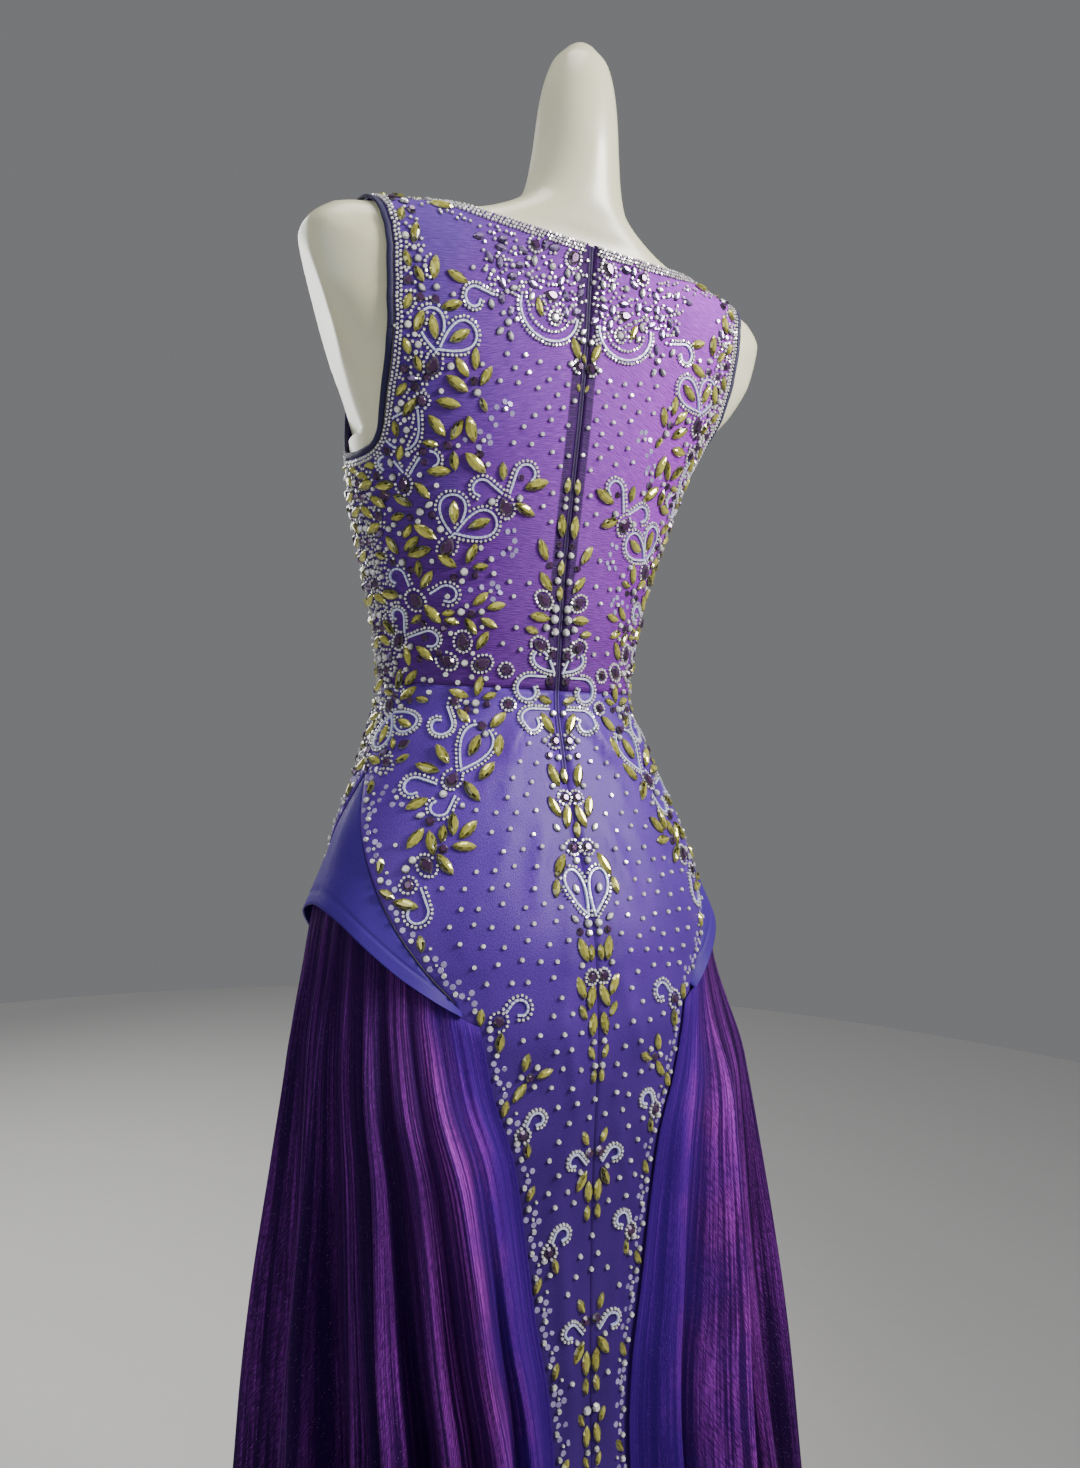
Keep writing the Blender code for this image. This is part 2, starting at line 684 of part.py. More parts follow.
def build_skirt_panels(material):
    heights = skirt_heights()
    zip_half = ZIP_WIDTH / 2 + SEAM_GAP
    for name, side in (("skirt_back_left", 1), ("skirt_back_right", -1)):
        places = []
        for u in spread(0, 1, PANEL_BACK_COLUMNS + 1):
            row = []
            for height in heights:
                start = zip_half if height >= YOKE_APEX else SEAM_GAP / 2
                first = angle_at_width(panel_point, height, start)
                last = panel_angle(height)
                last -= seam_angle(panel_point, height, last, SEAM_GAP)
                row.append((height, side * (first + (last - first) * u)))
            places.append(row)
        stones = stone_cells("skirt_back", PANEL_BACK_COLUMNS, len(heights) - 1)
        wall_on(name, material, panel_point, places, FORM_GAP, SATIN_WALL, stones)
    places = []
    for u in spread(0, 1, PANEL_FRONT_COLUMNS + 1):
        row = []
        for height in heights:
            first = panel_angle(height, front=True)
            first += seam_angle(panel_point, height, first, SEAM_GAP)
            row.append((height, first + (360 - 2 * first) * u))
        places.append(row)
    stones = stone_cells("skirt_front", PANEL_FRONT_COLUMNS, len(heights) - 1)
    wall_on("skirt_front", material, panel_point, places, FORM_GAP, SATIN_WALL, stones)


def build_hip_yokes(material):
    tip = yoke_tip_angle()
    for name, side in (("hip_yoke_left", 1), ("hip_yoke_right", -1)):
        inner = []
        outer = []
        for share in spread(YOKE_TIP_CUT, 1 - YOKE_TIP_CUT, YOKE_COLUMNS + 1):
            angle = tip + (180 - 2 * tip) * share
            back_angle = min(angle, 180 - angle)
            back_angle -= seam_angle(panel_point, YOKE_TIP, back_angle, 3 * SEAM_GAP)
            top = yoke_seam_height(back_angle) - SEAM_GAP
            bottom = yoke_edge_height(share)
            stand = YOKE_STANDOFF_TIP + (YOKE_STANDOFF_SIDE - YOKE_STANDOFF_TIP) * math.sin(
                math.pi * share
            )
            inside = []
            outside = []
            for level in spread(0, 1, YOKE_CELLS + 1):
                height = bottom + (top - bottom) * level
                gap = FORM_GAP + (stand - FORM_GAP) * (1 - level) ** YOKE_FLARE
                inside.append(raised(panel_point, height, side * angle, gap))
                outside.append(raised(panel_point, height, side * angle, gap + SATIN_WALL))
            inner.append(inside)
            outer.append(outside)
        add_wall(name, material, inner, outer)


def overskirt_places():
    """Columns of an overskirt: place along the gathers and share of the fold's rise."""
    places = [(0.0, 0.0, FOLDS[0])]
    for k, fold in enumerate(FOLDS):
        before = FOLDS[k - 1][0] if k else 0.0
        if k:
            valley = (before + fold[0]) / 2
            shallower = min(fold, FOLDS[k - 1], key=lambda row: row[1])
            places.append((valley, -VALLEY_SHARE, shallower))
            places.append(((valley + fold[0]) / 2, FLANK_SHARE, fold))
        else:
            places.append((fold[0] / 2, END_SHARE, fold))
        places.append((fold[0], 1.0, fold))
        after = FOLDS[k + 1][0] if k + 1 < len(FOLDS) else 1.0
        valley = (after + fold[0]) / 2
        if k + 1 < len(FOLDS):
            places.append(((valley + fold[0]) / 2, FLANK_SHARE, fold))
        else:
            places.append((valley, END_SHARE, fold))
    places.append((1.0, 0.0, FOLDS[-1]))
    return places


def overskirt_top(share):
    """Height where the gathers are sewn, under the yoke except at its tips."""
    edge = yoke_edge_height(share)
    tip = yoke_tip_angle()
    angle = tip + (180 - 2 * tip) * share
    tuck = min(OVERSKIRT_TUCK, TUCK_SHARE * (yoke_seam_height(min(angle, 180 - angle)) - edge))
    inside = smooth_step((math.sin(math.pi * share) - TIP_DROP_START) / TIP_DROP_RUN)
    return edge + tuck - TIP_DROP * (1 - inside)


def overskirt_point(share, height, rise, fold, side):
    """A point of the middle of an overskirt's wall."""
    back = angle_at_width(panel_point, height, PANEL_SHOWN_CURVE(min(height, YOKE_TIP)))
    front = angle_at_width(panel_point, height, PANEL_SHOWN_CURVE(min(height, YOKE_TIP)), True)
    angle = back + (front - back) * share
    lap_gap = LAP_GAP + (LAP_GAP_HEM - LAP_GAP) * (1 - height / YOKE_SIDE_EDGE)
    close = raised(panel_point, height, angle, FORM_GAP + SATIN_WALL + TULLE_WALL / 2 + lap_gap)
    line = (curve(height) for curve in OVERSKIRT_CURVES)
    x, y = ring_point(angle, *line, SKIRT_SQUARENESS)
    full = Vector((x, y, height))
    below = smooth_step((yoke_edge_height(share) + FALL_START - height) / FALL_RUN)
    swell = smooth_step(share / EDGE_SWELL) * smooth_step((1 - share) / EDGE_SWELL)
    point = close.lerp(full, below * swell)
    _, hem_depth, half_height = fold
    grown = 1 / (1 + math.exp((height - half_height) / FOLD_GROWTH))
    depth = EVEN_GATHER + GATHER_DEPTH * below + hem_depth * grown * smooth_step(below)
    edge = smooth_step(share / EDGE_FADE) * smooth_step((1 - share) / EDGE_FADE)
    out = surface_normal(panel_point, height, angle)
    out.z = 0.0
    point = point + out.normalized() * (depth * rise * edge)
    return Vector((point.x * side, point.y, point.z))


def build_overskirts(material):
    places = overskirt_places()
    for name, side in (("overskirt_left", 1), ("overskirt_right", -1)):
        bm = bmesh.new()
        grid = []
        for share, rise, fold in places:
            top = overskirt_top(share)
            row = []
            for level in OVERSKIRT_ROWS:
                height = OVERSKIRT_HEM + (top - OVERSKIRT_HEM) * level
                row.append(bm.verts.new(overskirt_point(share, height, rise, fold, side)))
            grid.append(row)
        for i in range(len(grid) - 1):
            for j in range(len(OVERSKIRT_ROWS) - 1):
                corners = (grid[i][j], grid[i + 1][j], grid[i + 1][j + 1], grid[i][j + 1])
                bm.faces.new(corners if side < 0 else corners[::-1])
        mesh = bpy.data.meshes.new(name)
        bm.to_mesh(mesh)
        bm.free()
        obj = add_object(name, mesh, material)
        solidify = obj.modifiers.new("tulle wall", "SOLIDIFY")
        solidify.thickness = TULLE_WALL
        solidify.offset = 0.0


def form_point(height, angle):
    """A point of the form: the figure, with flat slanted faces where arms would start."""
    point = figure_point(height, angle)
    above = point.z - CAP_LOW_Z
    slope = CAP_SLOPE if above > 0 else -CAP_UNDER_SLOPE
    limit = CAP_LOW_X + slope * above + CAP_TILT * point.y
    point.x = max(-limit, min(limit, point.x))
    return point


def build_form(material):
    """The torso: rings from its rounded foot to the tip of its neck, caps cut flat."""
    angles = FORM_ANGLES + [90] + [180 - angle for angle in FORM_ANGLES[:0:-1]]
    angles += [180 + angle for angle in angles]
    sides = len(angles)
    heights = [FORM_FOOT, *FORM_BODY_ROWS, UNDERARM, *(row[0] for row in UPPER_ROWS[1:])]
    heights += FORM_NECK_ROWS
    bm = bmesh.new()
    rings = []
    foot = []
    for angle in angles:
        point = form_point(FORM_FOOT, angle)
        middle = Vector((0.0, POLE_Y, FORM_FOOT - FORM_ROUNDING))
        foot.append(bm.verts.new(middle + (point - middle) * FOOT_SHARE))
        foot[-1].co.z = FORM_FOOT - FORM_ROUNDING
    rings.append(foot)
    for height in heights:
        rings.append([bm.verts.new(form_point(height, angle)) for angle in angles])
    for lower, upper in zip(rings, rings[1:]):
        for k in range(sides):
            following = (k + 1) % sides
            corners = [lower[k], lower[following], upper[following], upper[k]]
            across = corners[1].co + corners[2].co - corners[0].co - corners[3].co
            out = across.cross(corners[2].co + corners[3].co - corners[0].co - corners[1].co)
            middle = sum((corner.co for corner in corners), Vector()) / 4
            if out.xy.dot(middle.xy) < 0:
                out = -out
            add_split(bm, corners, diagonal(corners, out, proud=False))
    bm.faces.new(rings[0])
    tip = bm.verts.new(NECK_TIP)
    for k in range(sides):
        bm.faces.new((rings[-1][k], rings[-1][(k + 1) % sides], tip))
    mesh = mesh_from(bm, "form_torso")
    mesh.shade_smooth()
    mesh.set_sharp_from_angle(angle=math.radians(SMOOTH_LIMIT))
    return add_object("form_torso", mesh, material)


def build_stand(pole_material, base_material):
    pole_low = BASE_HEIGHT + STAND_GAP
    pole_high = FORM_FOOT - FORM_ROUNDING - STAND_GAP
    bm = bmesh.new()
    bmesh.ops.create_cone(
        bm, cap_ends=True, segments=POLE_SIDES, radius1=POLE_RADIUS, radius2=POLE_RADIUS,
        depth=pole_high - pole_low,
    )
    bmesh.ops.translate(bm, verts=bm.verts[:], vec=(0.0, POLE_Y, (pole_high + pole_low) / 2))
    add_object("form_pole", mesh_from(bm, "form_pole"), pole_material)
    bm = bmesh.new()
    bmesh.ops.create_cone(
        bm, cap_ends=True, segments=BASE_SIDES, radius1=BASE_RADIUS, radius2=BASE_RADIUS,
        depth=BASE_HEIGHT,
    )
    bmesh.ops.translate(bm, verts=bm.verts[:], vec=(0.0, POLE_Y, BASE_HEIGHT / 2))
    base = add_object("form_base", mesh_from(bm, "form_base"), base_material)
    bevel = base.modifiers.new("base edge", "BEVEL")
    bevel.width = BASE_BEVEL
    bevel.segments = 1


def main():
    for obj in list(bpy.data.objects):
        bpy.data.objects.remove(obj, do_unlink=True)
    gown = bpy.data.collections.new("mermaid_gown_on_form")
    bpy.context.scene.collection.children.link(gown)
    mesh_violet = add_material("bodice mesh violet", (0.18, 0.07, 0.42), 0.55)
    satin = add_material("satin violet blue", (0.09, 0.05, 0.42), 0.42)
    tulle = add_material("shimmer tulle plum", (0.13, 0.03, 0.28), 0.5)
    navy = add_material("binding navy", (0.01, 0.01, 0.04), 0.6)
    ivory = add_material("form ivory gloss", (0.72, 0.68, 0.56), 0.25)
    steel = add_material("stand brushed steel", (0.6, 0.6, 0.62), 0.3, 1.0)
    build_form(ivory)
    build_stand(steel, steel)
    build_bodice_front(mesh_violet)
    build_bodice_backs(mesh_violet)
    build_zip(mesh_violet)
    build_armhole_bindings(navy)
    build_skirt_panels(satin)
    build_hip_yokes(satin)
    build_overskirts(tulle)


main()
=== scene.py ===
import itertools
import math

import bpy
import numpy as np
from mathutils import Matrix, Vector


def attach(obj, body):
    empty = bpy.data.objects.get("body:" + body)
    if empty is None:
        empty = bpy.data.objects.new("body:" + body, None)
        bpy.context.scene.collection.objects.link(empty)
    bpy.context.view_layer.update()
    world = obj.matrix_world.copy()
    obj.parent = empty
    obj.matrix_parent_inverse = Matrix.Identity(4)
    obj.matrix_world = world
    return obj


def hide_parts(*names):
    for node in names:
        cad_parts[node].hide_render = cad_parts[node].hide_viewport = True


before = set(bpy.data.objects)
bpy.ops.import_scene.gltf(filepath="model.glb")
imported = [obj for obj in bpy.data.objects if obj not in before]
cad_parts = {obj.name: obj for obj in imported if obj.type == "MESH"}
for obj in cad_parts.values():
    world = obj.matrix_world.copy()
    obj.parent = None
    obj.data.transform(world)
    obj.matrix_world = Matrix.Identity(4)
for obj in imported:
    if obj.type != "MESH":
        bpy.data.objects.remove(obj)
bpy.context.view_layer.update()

# The photographer stood low behind the gown, a little to the wearer's left.
cameraSetup = {
    "azimuth": 147.03,
    "elevation": 1.72,
    "roll": 2.79,
    "distance": 0.980,
    "target": (-0.0290, -0.0040, 1.0620),
    "focalPixels": 1110,
    "imageHeight": 1468,
    "sensor": 36.0,
}

# The figure and the lines of the skirts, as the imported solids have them
figure = {
    # height at the side, back and front, half width, y of back, front, side, squareness
    "rings": (
        (0.600, 0.600, 0.600, 0.144, 0.112, -0.084, 0.014, 2.2),
        (0.720, 0.720, 0.720, 0.158, 0.126, -0.090, 0.022, 2.2),
        (0.820, 0.820, 0.820, 0.171, 0.137, -0.094, 0.026, 2.2),
        (0.885, 0.885, 0.885, 0.175, 0.134, -0.096, 0.026, 2.2),
        (0.975, 0.975, 0.975, 0.159, 0.103, -0.095, 0.018, 2.2),
        (1.045, 1.045, 1.045, 0.130, 0.074, -0.089, 0.000, 2.2),
        (1.100, 1.100, 1.100, 0.113, 0.060, -0.085, -0.018, 2.2),
        (1.175, 1.175, 1.175, 0.125, 0.060, -0.094, -0.020, 2.2),
        (1.255, 1.250, 1.252, 0.146, 0.066, -0.102, -0.012, 2.3),
        (1.300, 1.286, 1.290, 0.156, 0.070, -0.100, 0.002, 2.4),
        (1.335, 1.314, 1.320, 0.174, 0.073, -0.090, 0.013, 2.5),
        (1.365, 1.338, 1.344, 0.197, 0.075, -0.080, 0.020, 2.7),
        (1.400, 1.366, 1.364, 0.214, 0.077, -0.064, 0.026, 2.8),
        (1.430, 1.392, 1.382, 0.218, 0.078, -0.048, 0.031, 2.8),
        (1.447, 1.414, 1.396, 0.201, 0.078, -0.034, 0.036, 2.7),
        (1.455, 1.436, 1.408, 0.163, 0.078, -0.021, 0.040, 2.5),
        (1.461, 1.456, 1.422, 0.122, 0.078, -0.006, 0.045, 2.2),
        (1.472, 1.470, 1.444, 0.081, 0.081, 0.010, 0.050, 2.1),
        (1.494, 1.492, 1.474, 0.046, 0.085, 0.017, 0.052, 2.0),
        (1.530, 1.529, 1.522, 0.037, 0.085, 0.018, 0.052, 2.0),
        (1.575, 1.575, 1.573, 0.032, 0.081, 0.021, 0.052, 2.0),
        (1.605, 1.605, 1.604, 0.024, 0.074, 0.029, 0.052, 2.0),
        (1.619, 1.619, 1.619, 0.012, 0.063, 0.040, 0.052, 2.0),
    ),
    # bust: x, z, rise, spread in x and z, onset
    "bust": (0.072, 1.262, 0.022, 0.048, 0.052, 2.2),
    "waist": 1.100,
    "underarm": 1.276,
    "neckline": 1.4605,
    "shoulderPoint": 1.4530,
    "clothGap": 0.0018,
    "seamGap": 0.0003,
    # height, half width at the back edge and the front edge of the armhole
    "armhole": (
        (1.2760, 0.1520, 0.1520),
        (1.2800, 0.1480, 0.1470),
        (1.2900, 0.1465, 0.1430),
        (1.3100, 0.1490, 0.1380),
        (1.3500, 0.1560, 0.1350),
        (1.3900, 0.1610, 0.1370),
        (1.4200, 0.1640, 0.1440),
        (1.4400, 0.1660, 0.1560),
        (1.4485, 0.1690, 0.1650),
        (1.4515, 0.1710, 0.1690),
        (1.4530, 0.1735, 0.1735),
    ),
}

skirt = {
    "square": 2.2,
    # height, half width, y of back, front and side
    "panelLine": (
        (0.005, 0.300, 0.375, -0.185, 0.090),
        (0.150, 0.245, 0.275, -0.150, 0.060),
        (0.300, 0.205, 0.208, -0.126, 0.036),
        (0.440, 0.185, 0.172, -0.114, 0.024),
        (0.540, 0.177, 0.156, -0.108, 0.018),
        (0.640, 0.173, 0.147, -0.103, 0.020),
        (0.740, 0.172, 0.142, -0.100, 0.024),
        (0.830, 0.174, 0.141, -0.097, 0.026),
        (0.885, 0.175, 0.134, -0.096, 0.026),
    ),
    "overskirtLine": (
        (0.005, 0.318, 0.430, -0.215, 0.125),
        (0.150, 0.265, 0.345, -0.172, 0.106),
        (0.300, 0.222, 0.282, -0.142, 0.090),
        (0.440, 0.199, 0.240, -0.128, 0.076),
        (0.540, 0.195, 0.222, -0.124, 0.066),
        (0.640, 0.195, 0.205, -0.121, 0.056),
        (0.740, 0.194, 0.188, -0.118, 0.048),
        (0.800, 0.192, 0.175, -0.116, 0.042),
        (0.860, 0.188, 0.160, -0.112, 0.034),
        (0.930, 0.179, 0.140, -0.106, 0.026),
    ),
    # height, half width of the panel that shows between the overskirts
    "panelShown": (
        (0.005, 0.088),
        (0.150, 0.062),
        (0.300, 0.044),
        (0.440, 0.035),
        (0.520, 0.034),
        (0.575, 0.038),
        (0.630, 0.048),
        (0.710, 0.060),
        (0.750, 0.067),
        (0.800, 0.084),
        (0.855, 0.096),
    ),
    "hem": 0.005,
    "yokeApex": 1.028,
    "yokeTip": 0.855,
    "seamBow": 0.92,
    # how far the panel runs on under the overskirt, and more so just below the yoke's tip
    "panelLap": 0.012,
    "tipLap": 0.022,
    "tipRun": 0.04,
    "tipShare": 0.048,
}


def smoothCurve(places, values):
    # a curve through table values that never swings past them
    places = np.array(places, float)
    values = np.array(values, float)
    step = np.diff(places)
    rise = np.diff(values) / step
    slopes = np.zeros(len(values))
    slopes[0], slopes[-1] = rise[0], rise[-1]
    for i in range(1, len(values) - 1):
        if rise[i - 1] * rise[i] > 0:
            before = 2 * step[i] + step[i - 1]
            after = step[i] + 2 * step[i - 1]
            slopes[i] = (before + after) / (before / rise[i - 1] + after / rise[i])

    def at(place):
        place = np.clip(place, places[0], places[-1])
        i = np.clip(np.searchsorted(places, place, side="right") - 1, 0, len(places) - 2)
        span = step[i]
        t = (place - places[i]) / span
        return (
            (1 + 2 * t) * (1 - t) ** 2 * values[i]
            + t * (1 - t) ** 2 * span * slopes[i]
            + t * t * (3 - 2 * t) * values[i + 1]
            + t * t * (t - 1) * span * slopes[i + 1]
        )

    return at


def tableCurves(table):
    places = [row[0] for row in table]
    return [smoothCurve(places, [row[k] for row in table]) for k in range(1, len(table[0]))]


figureCurves = tableCurves(figure["rings"])
panelCurves = tableCurves(skirt["panelLine"])
overskirtCurves = tableCurves(skirt["overskirtLine"])
panelShownAt = tableCurves(skirt["panelShown"])[0]
armholeBackAt, armholeFrontAt = tableCurves(figure["armhole"])


def smoothStep(value):
    value = np.clip(value, 0.0, 1.0)
    return value * value * (3 - 2 * value)


def unit(vectors):
    return vectors / np.maximum(np.linalg.norm(vectors, axis=-1, keepdims=True), 1e-12)


def dots(first, second):
    return np.einsum("ij,ij->i", first, second)


def ringPoint(angle, halfWidth, backY, frontY, sideY, square):
    # the angle is 0 at centre back and 90 at the wearer's left
    turn = np.radians(angle)
    depth = np.where(np.cos(turn) >= 0, backY - sideY, sideY - frontY)
    across = halfWidth * np.sin(turn)
    along = depth * np.cos(turn)
    length = np.hypot(across, along)
    ux, uy = across / length, along / length
    reach = (np.abs(ux / halfWidth) ** square + np.abs(uy / depth) ** square) ** (-1 / square)
    return reach * ux, sideY + reach * uy


def figurePoint(height, angle):
    height, angle = np.broadcast_arrays(np.asarray(height, float), np.asarray(angle, float))
    backZ, frontZ, halfWidth, backY, frontY, sideY, square = (c(height) for c in figureCurves)
    x, y = ringPoint(angle, halfWidth, backY, frontY, sideY, square)
    cosine = np.cos(np.radians(angle))
    z = height + (np.where(cosine >= 0, backZ, frontZ) - height) * cosine * cosine
    bustX, bustZ, bustRise, spreadX, spreadZ, onset = figure["bust"]
    bust = np.exp(-(((z - bustZ) / spreadZ) ** 2) - ((np.abs(x) - bustX) / spreadX) ** 2)
    y = y - bustRise * bust * smoothStep(-cosine * onset)
    return np.stack([x, y, z], axis=-1)


def panelPoint(height, angle):
    # the figure, then the hang below the hips
    height, angle = np.broadcast_arrays(np.asarray(height, float), np.asarray(angle, float))
    top = skirt["panelLine"][-1][0]
    points = figurePoint(np.maximum(height, top), angle)
    x, y = ringPoint(angle, *(c(height) for c in panelCurves), skirt["square"])
    hanging = np.stack([x, y, height], axis=-1)
    return np.where((height < top)[..., None], hanging, points)


def aroundBy(surface, height, angle, turn=0.4):
    # from one side of a place to the other, round the body
    return surface(height, angle + turn) - surface(height, angle - turn)


def upBy(surface, height, angle, step=0.0005):
    return surface(height + step, angle) - surface(height - step, angle)


def surfaceNormal(surface, height, angle):
    return unit(np.cross(upBy(surface, height, angle), aroundBy(surface, height, angle)))


def raised(surface, height, angle, distance):
    distance = np.asarray(distance, float)
    normal = surfaceNormal(surface, height, angle)
    return surface(height, angle) + normal * distance[..., None]


def angleAtWidth(surface, height, halfWidth, front=False):
    # the angle on the wearer's left where a ring has the given half width
    height, halfWidth = np.broadcast_arrays(np.asarray(height, float), np.asarray(halfWidth, float))
    low = np.full(height.shape, 90.0 if front else 0.0)
    high = np.full(height.shape, 180.0 if front else 90.0)
    for _ in range(32):
        middle = (low + high) / 2
        wider = surface(height, middle)[..., 0] > halfWidth
        lower = wider != front
        high = np.where(lower, middle, high)
        low = np.where(lower, low, middle)
    return (low + high) / 2


def seamTurn(surface, height, angle, distance):
    # the turn that moves a point of a surface sideways by the given distance
    return distance / np.linalg.norm(aroundBy(surface, height, angle, 0.5), axis=-1)


def refineGrid(grid, countAcross, countUp):
    # smooth curves through a coarse grid of values, indexed [across][up]
    grid = np.asarray(grid, float)
    across, up = grid.shape
    finerUp = np.linspace(0, up - 1, countUp + 1)
    rows = np.array([smoothCurve(range(up), line)(finerUp) for line in grid])
    finerAcross = np.linspace(0, across - 1, countAcross + 1)
    return np.array([smoothCurve(range(across), line)(finerAcross) for line in rows.T]).T


def gridNormals(points):
    up = np.gradient(points, axis=1)
    along = np.gradient(points, axis=0)
    return unit(np.cross(up, along))


def pathLengths(points, axis):
    steps = np.linalg.norm(np.diff(points, axis=axis), axis=-1)
    first = np.zeros_like(np.take(steps, [0], axis=axis))
    return np.cumsum(np.concatenate([first, steps], axis=axis), axis=axis)


def lineLengths(points):
    return np.concatenate([[0], np.cumsum(np.linalg.norm(np.diff(points, axis=0), axis=1))])


def edgeRoll(points, sides, depth, width):
    # how far a sewn edge dips into its seam; sides holds any of start, end, foot, top
    across = pathLengths(points, 0)
    up = pathLengths(points, 1)
    away = {
        "start": across,
        "end": across[-1:] - across,
        "foot": up,
        "top": up[:, -1:] - up,
    }
    roll = np.zeros(points.shape[:2])
    for side in sides:
        roll = np.maximum(roll, np.exp(-((away[side] / width) ** 2)))
    return -depth * roll


def creaseRise(points, surface, creases, side=1):
    # soft ridges and troughs, each from one place of the surface to another
    rise = np.zeros(points.shape[:-1])
    for startHeight, startAngle, endHeight, endAngle, width, depth in creases:
        start = surface(startHeight, side * startAngle)
        end = surface(endHeight, side * endAngle)
        line = end - start
        share = ((points - start) @ line) / (line @ line)
        nearest = start + np.clip(share, 0, 1)[..., None] * line
        away = np.linalg.norm(points - nearest, axis=-1)
        taper = np.sin(np.pi * np.clip(share, 0, 1)) ** 0.7
        rise += depth * taper * np.exp(-((away / width) ** 2))
    return rise


def addObject(name, data):
    made = bpy.data.objects.new(name, data)
    bpy.context.scene.collection.objects.link(made)
    return made


def addValues(mesh, name, values, domain="POINT"):
    # one number or one vector for each point or face
    values = np.ascontiguousarray(values, np.float32)
    kind, slot = ("FLOAT_VECTOR", "vector") if values.ndim == 2 else ("FLOAT", "value")
    mesh.attributes.new(name, kind, domain).data.foreach_set(slot, values.ravel())


def meshPiece(name, vertices, faces, material, uv=None):
    # a smooth mesh whose faces point outwards
    mesh = bpy.data.meshes.new(name)
    mesh.from_pydata(np.asarray(vertices).tolist(), [], [[int(v) for v in face] for face in faces])
    mesh.calc_loop_triangles()
    places = np.zeros(len(mesh.vertices) * 3)
    mesh.vertices.foreach_get("co", places)
    places = places.reshape(-1, 3)
    corners = np.zeros(len(mesh.loop_triangles) * 3, int)
    mesh.loop_triangles.foreach_get("vertices", corners)
    a, b, c = (places[corners.reshape(-1, 3)[:, k]] for k in range(3))
    if dots(a, np.cross(b, c)).sum() < 0:
        mesh.flip_normals()
    if uv is not None:
        layer = mesh.uv_layers.new(name="cloth")
        loops = np.zeros(len(mesh.loops), int)
        mesh.loops.foreach_get("vertex_index", loops)
        layer.data.foreach_set("uv", np.asarray(uv, float)[loops].ravel())
    mesh.shade_smooth()
    mesh.materials.append(material)
    return addObject(name, mesh)


def shellPiece(name, inner, outer, material, uv):
    # a closed wall between two grids of points, indexed [across][up]
    across, up = inner.shape[:2]
    number = np.arange(across * up).reshape(across, up)
    first, last = number[:-1], number[1:]
    a, b, c, d = first[:, :-1], first[:, 1:], last[:, 1:], last[:, :-1]
    half = across * up
    outside = np.stack([a, b, c, d], axis=-1).reshape(-1, 4) + half
    inside = np.stack([d, c, b, a], axis=-1).reshape(-1, 4)
    foot = np.stack([first[:, 0], first[:, 0] + half, last[:, 0] + half, last[:, 0]], axis=-1)
    top = np.stack([first[:, -1], last[:, -1], last[:, -1] + half, first[:, -1] + half], axis=-1)
    faces = [outside, inside, foot, top]
    low, high = number[:, :-1], number[:, 1:]
    for k, order in ((0, 1), (across - 1, -1)):
        ring = [low[k], high[k], high[k] + half, low[k] + half]
        faces.append(np.stack(ring[::order], axis=-1))
    vertices = np.concatenate([inner.reshape(-1, 3), outer.reshape(-1, 3)])
    uv = np.concatenate([uv.reshape(-1, 2)] * 2)
    return meshPiece(name, vertices, np.concatenate(faces), material, uv)


def clothUv(points):
    # metres across and up the cloth
    return np.stack([pathLengths(points, 0), pathLengths(points, 1)], axis=-1)


def sheetOn(name, surface, height, angle, rise, wall, material):
    # a sheet that follows a surface, rise above the figure's cloth gap
    distance = figure["clothGap"] + rise
    inner = raised(surface, height, angle, distance)
    outer = raised(surface, height, angle, distance + wall)
    return shellPiece(name, inner, outer, material, clothUv(outer))


bothSides = (("Left", "left", 1), ("Right", "right", -1))


def settle(piece, node):
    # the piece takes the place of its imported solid
    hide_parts(node)
    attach(piece, "root")
    return piece


def creasedSheet(sizes, surface, material, slot, name, node, height, angle, rolled, creases, side=1):
    # cloth that rolls in at its seams and has creases of its own
    points = surface(height, side * angle)
    rise = np.full(height.shape, sizes["rise"]) + edgeRoll(points, rolled, *sizes["edgeRoll"])
    rise += creaseRise(points, surface, creases, side)
    piece = sheetOn(name, surface, height, side * angle, rise, sizes["wall"], material)
    return settle(piece, node)


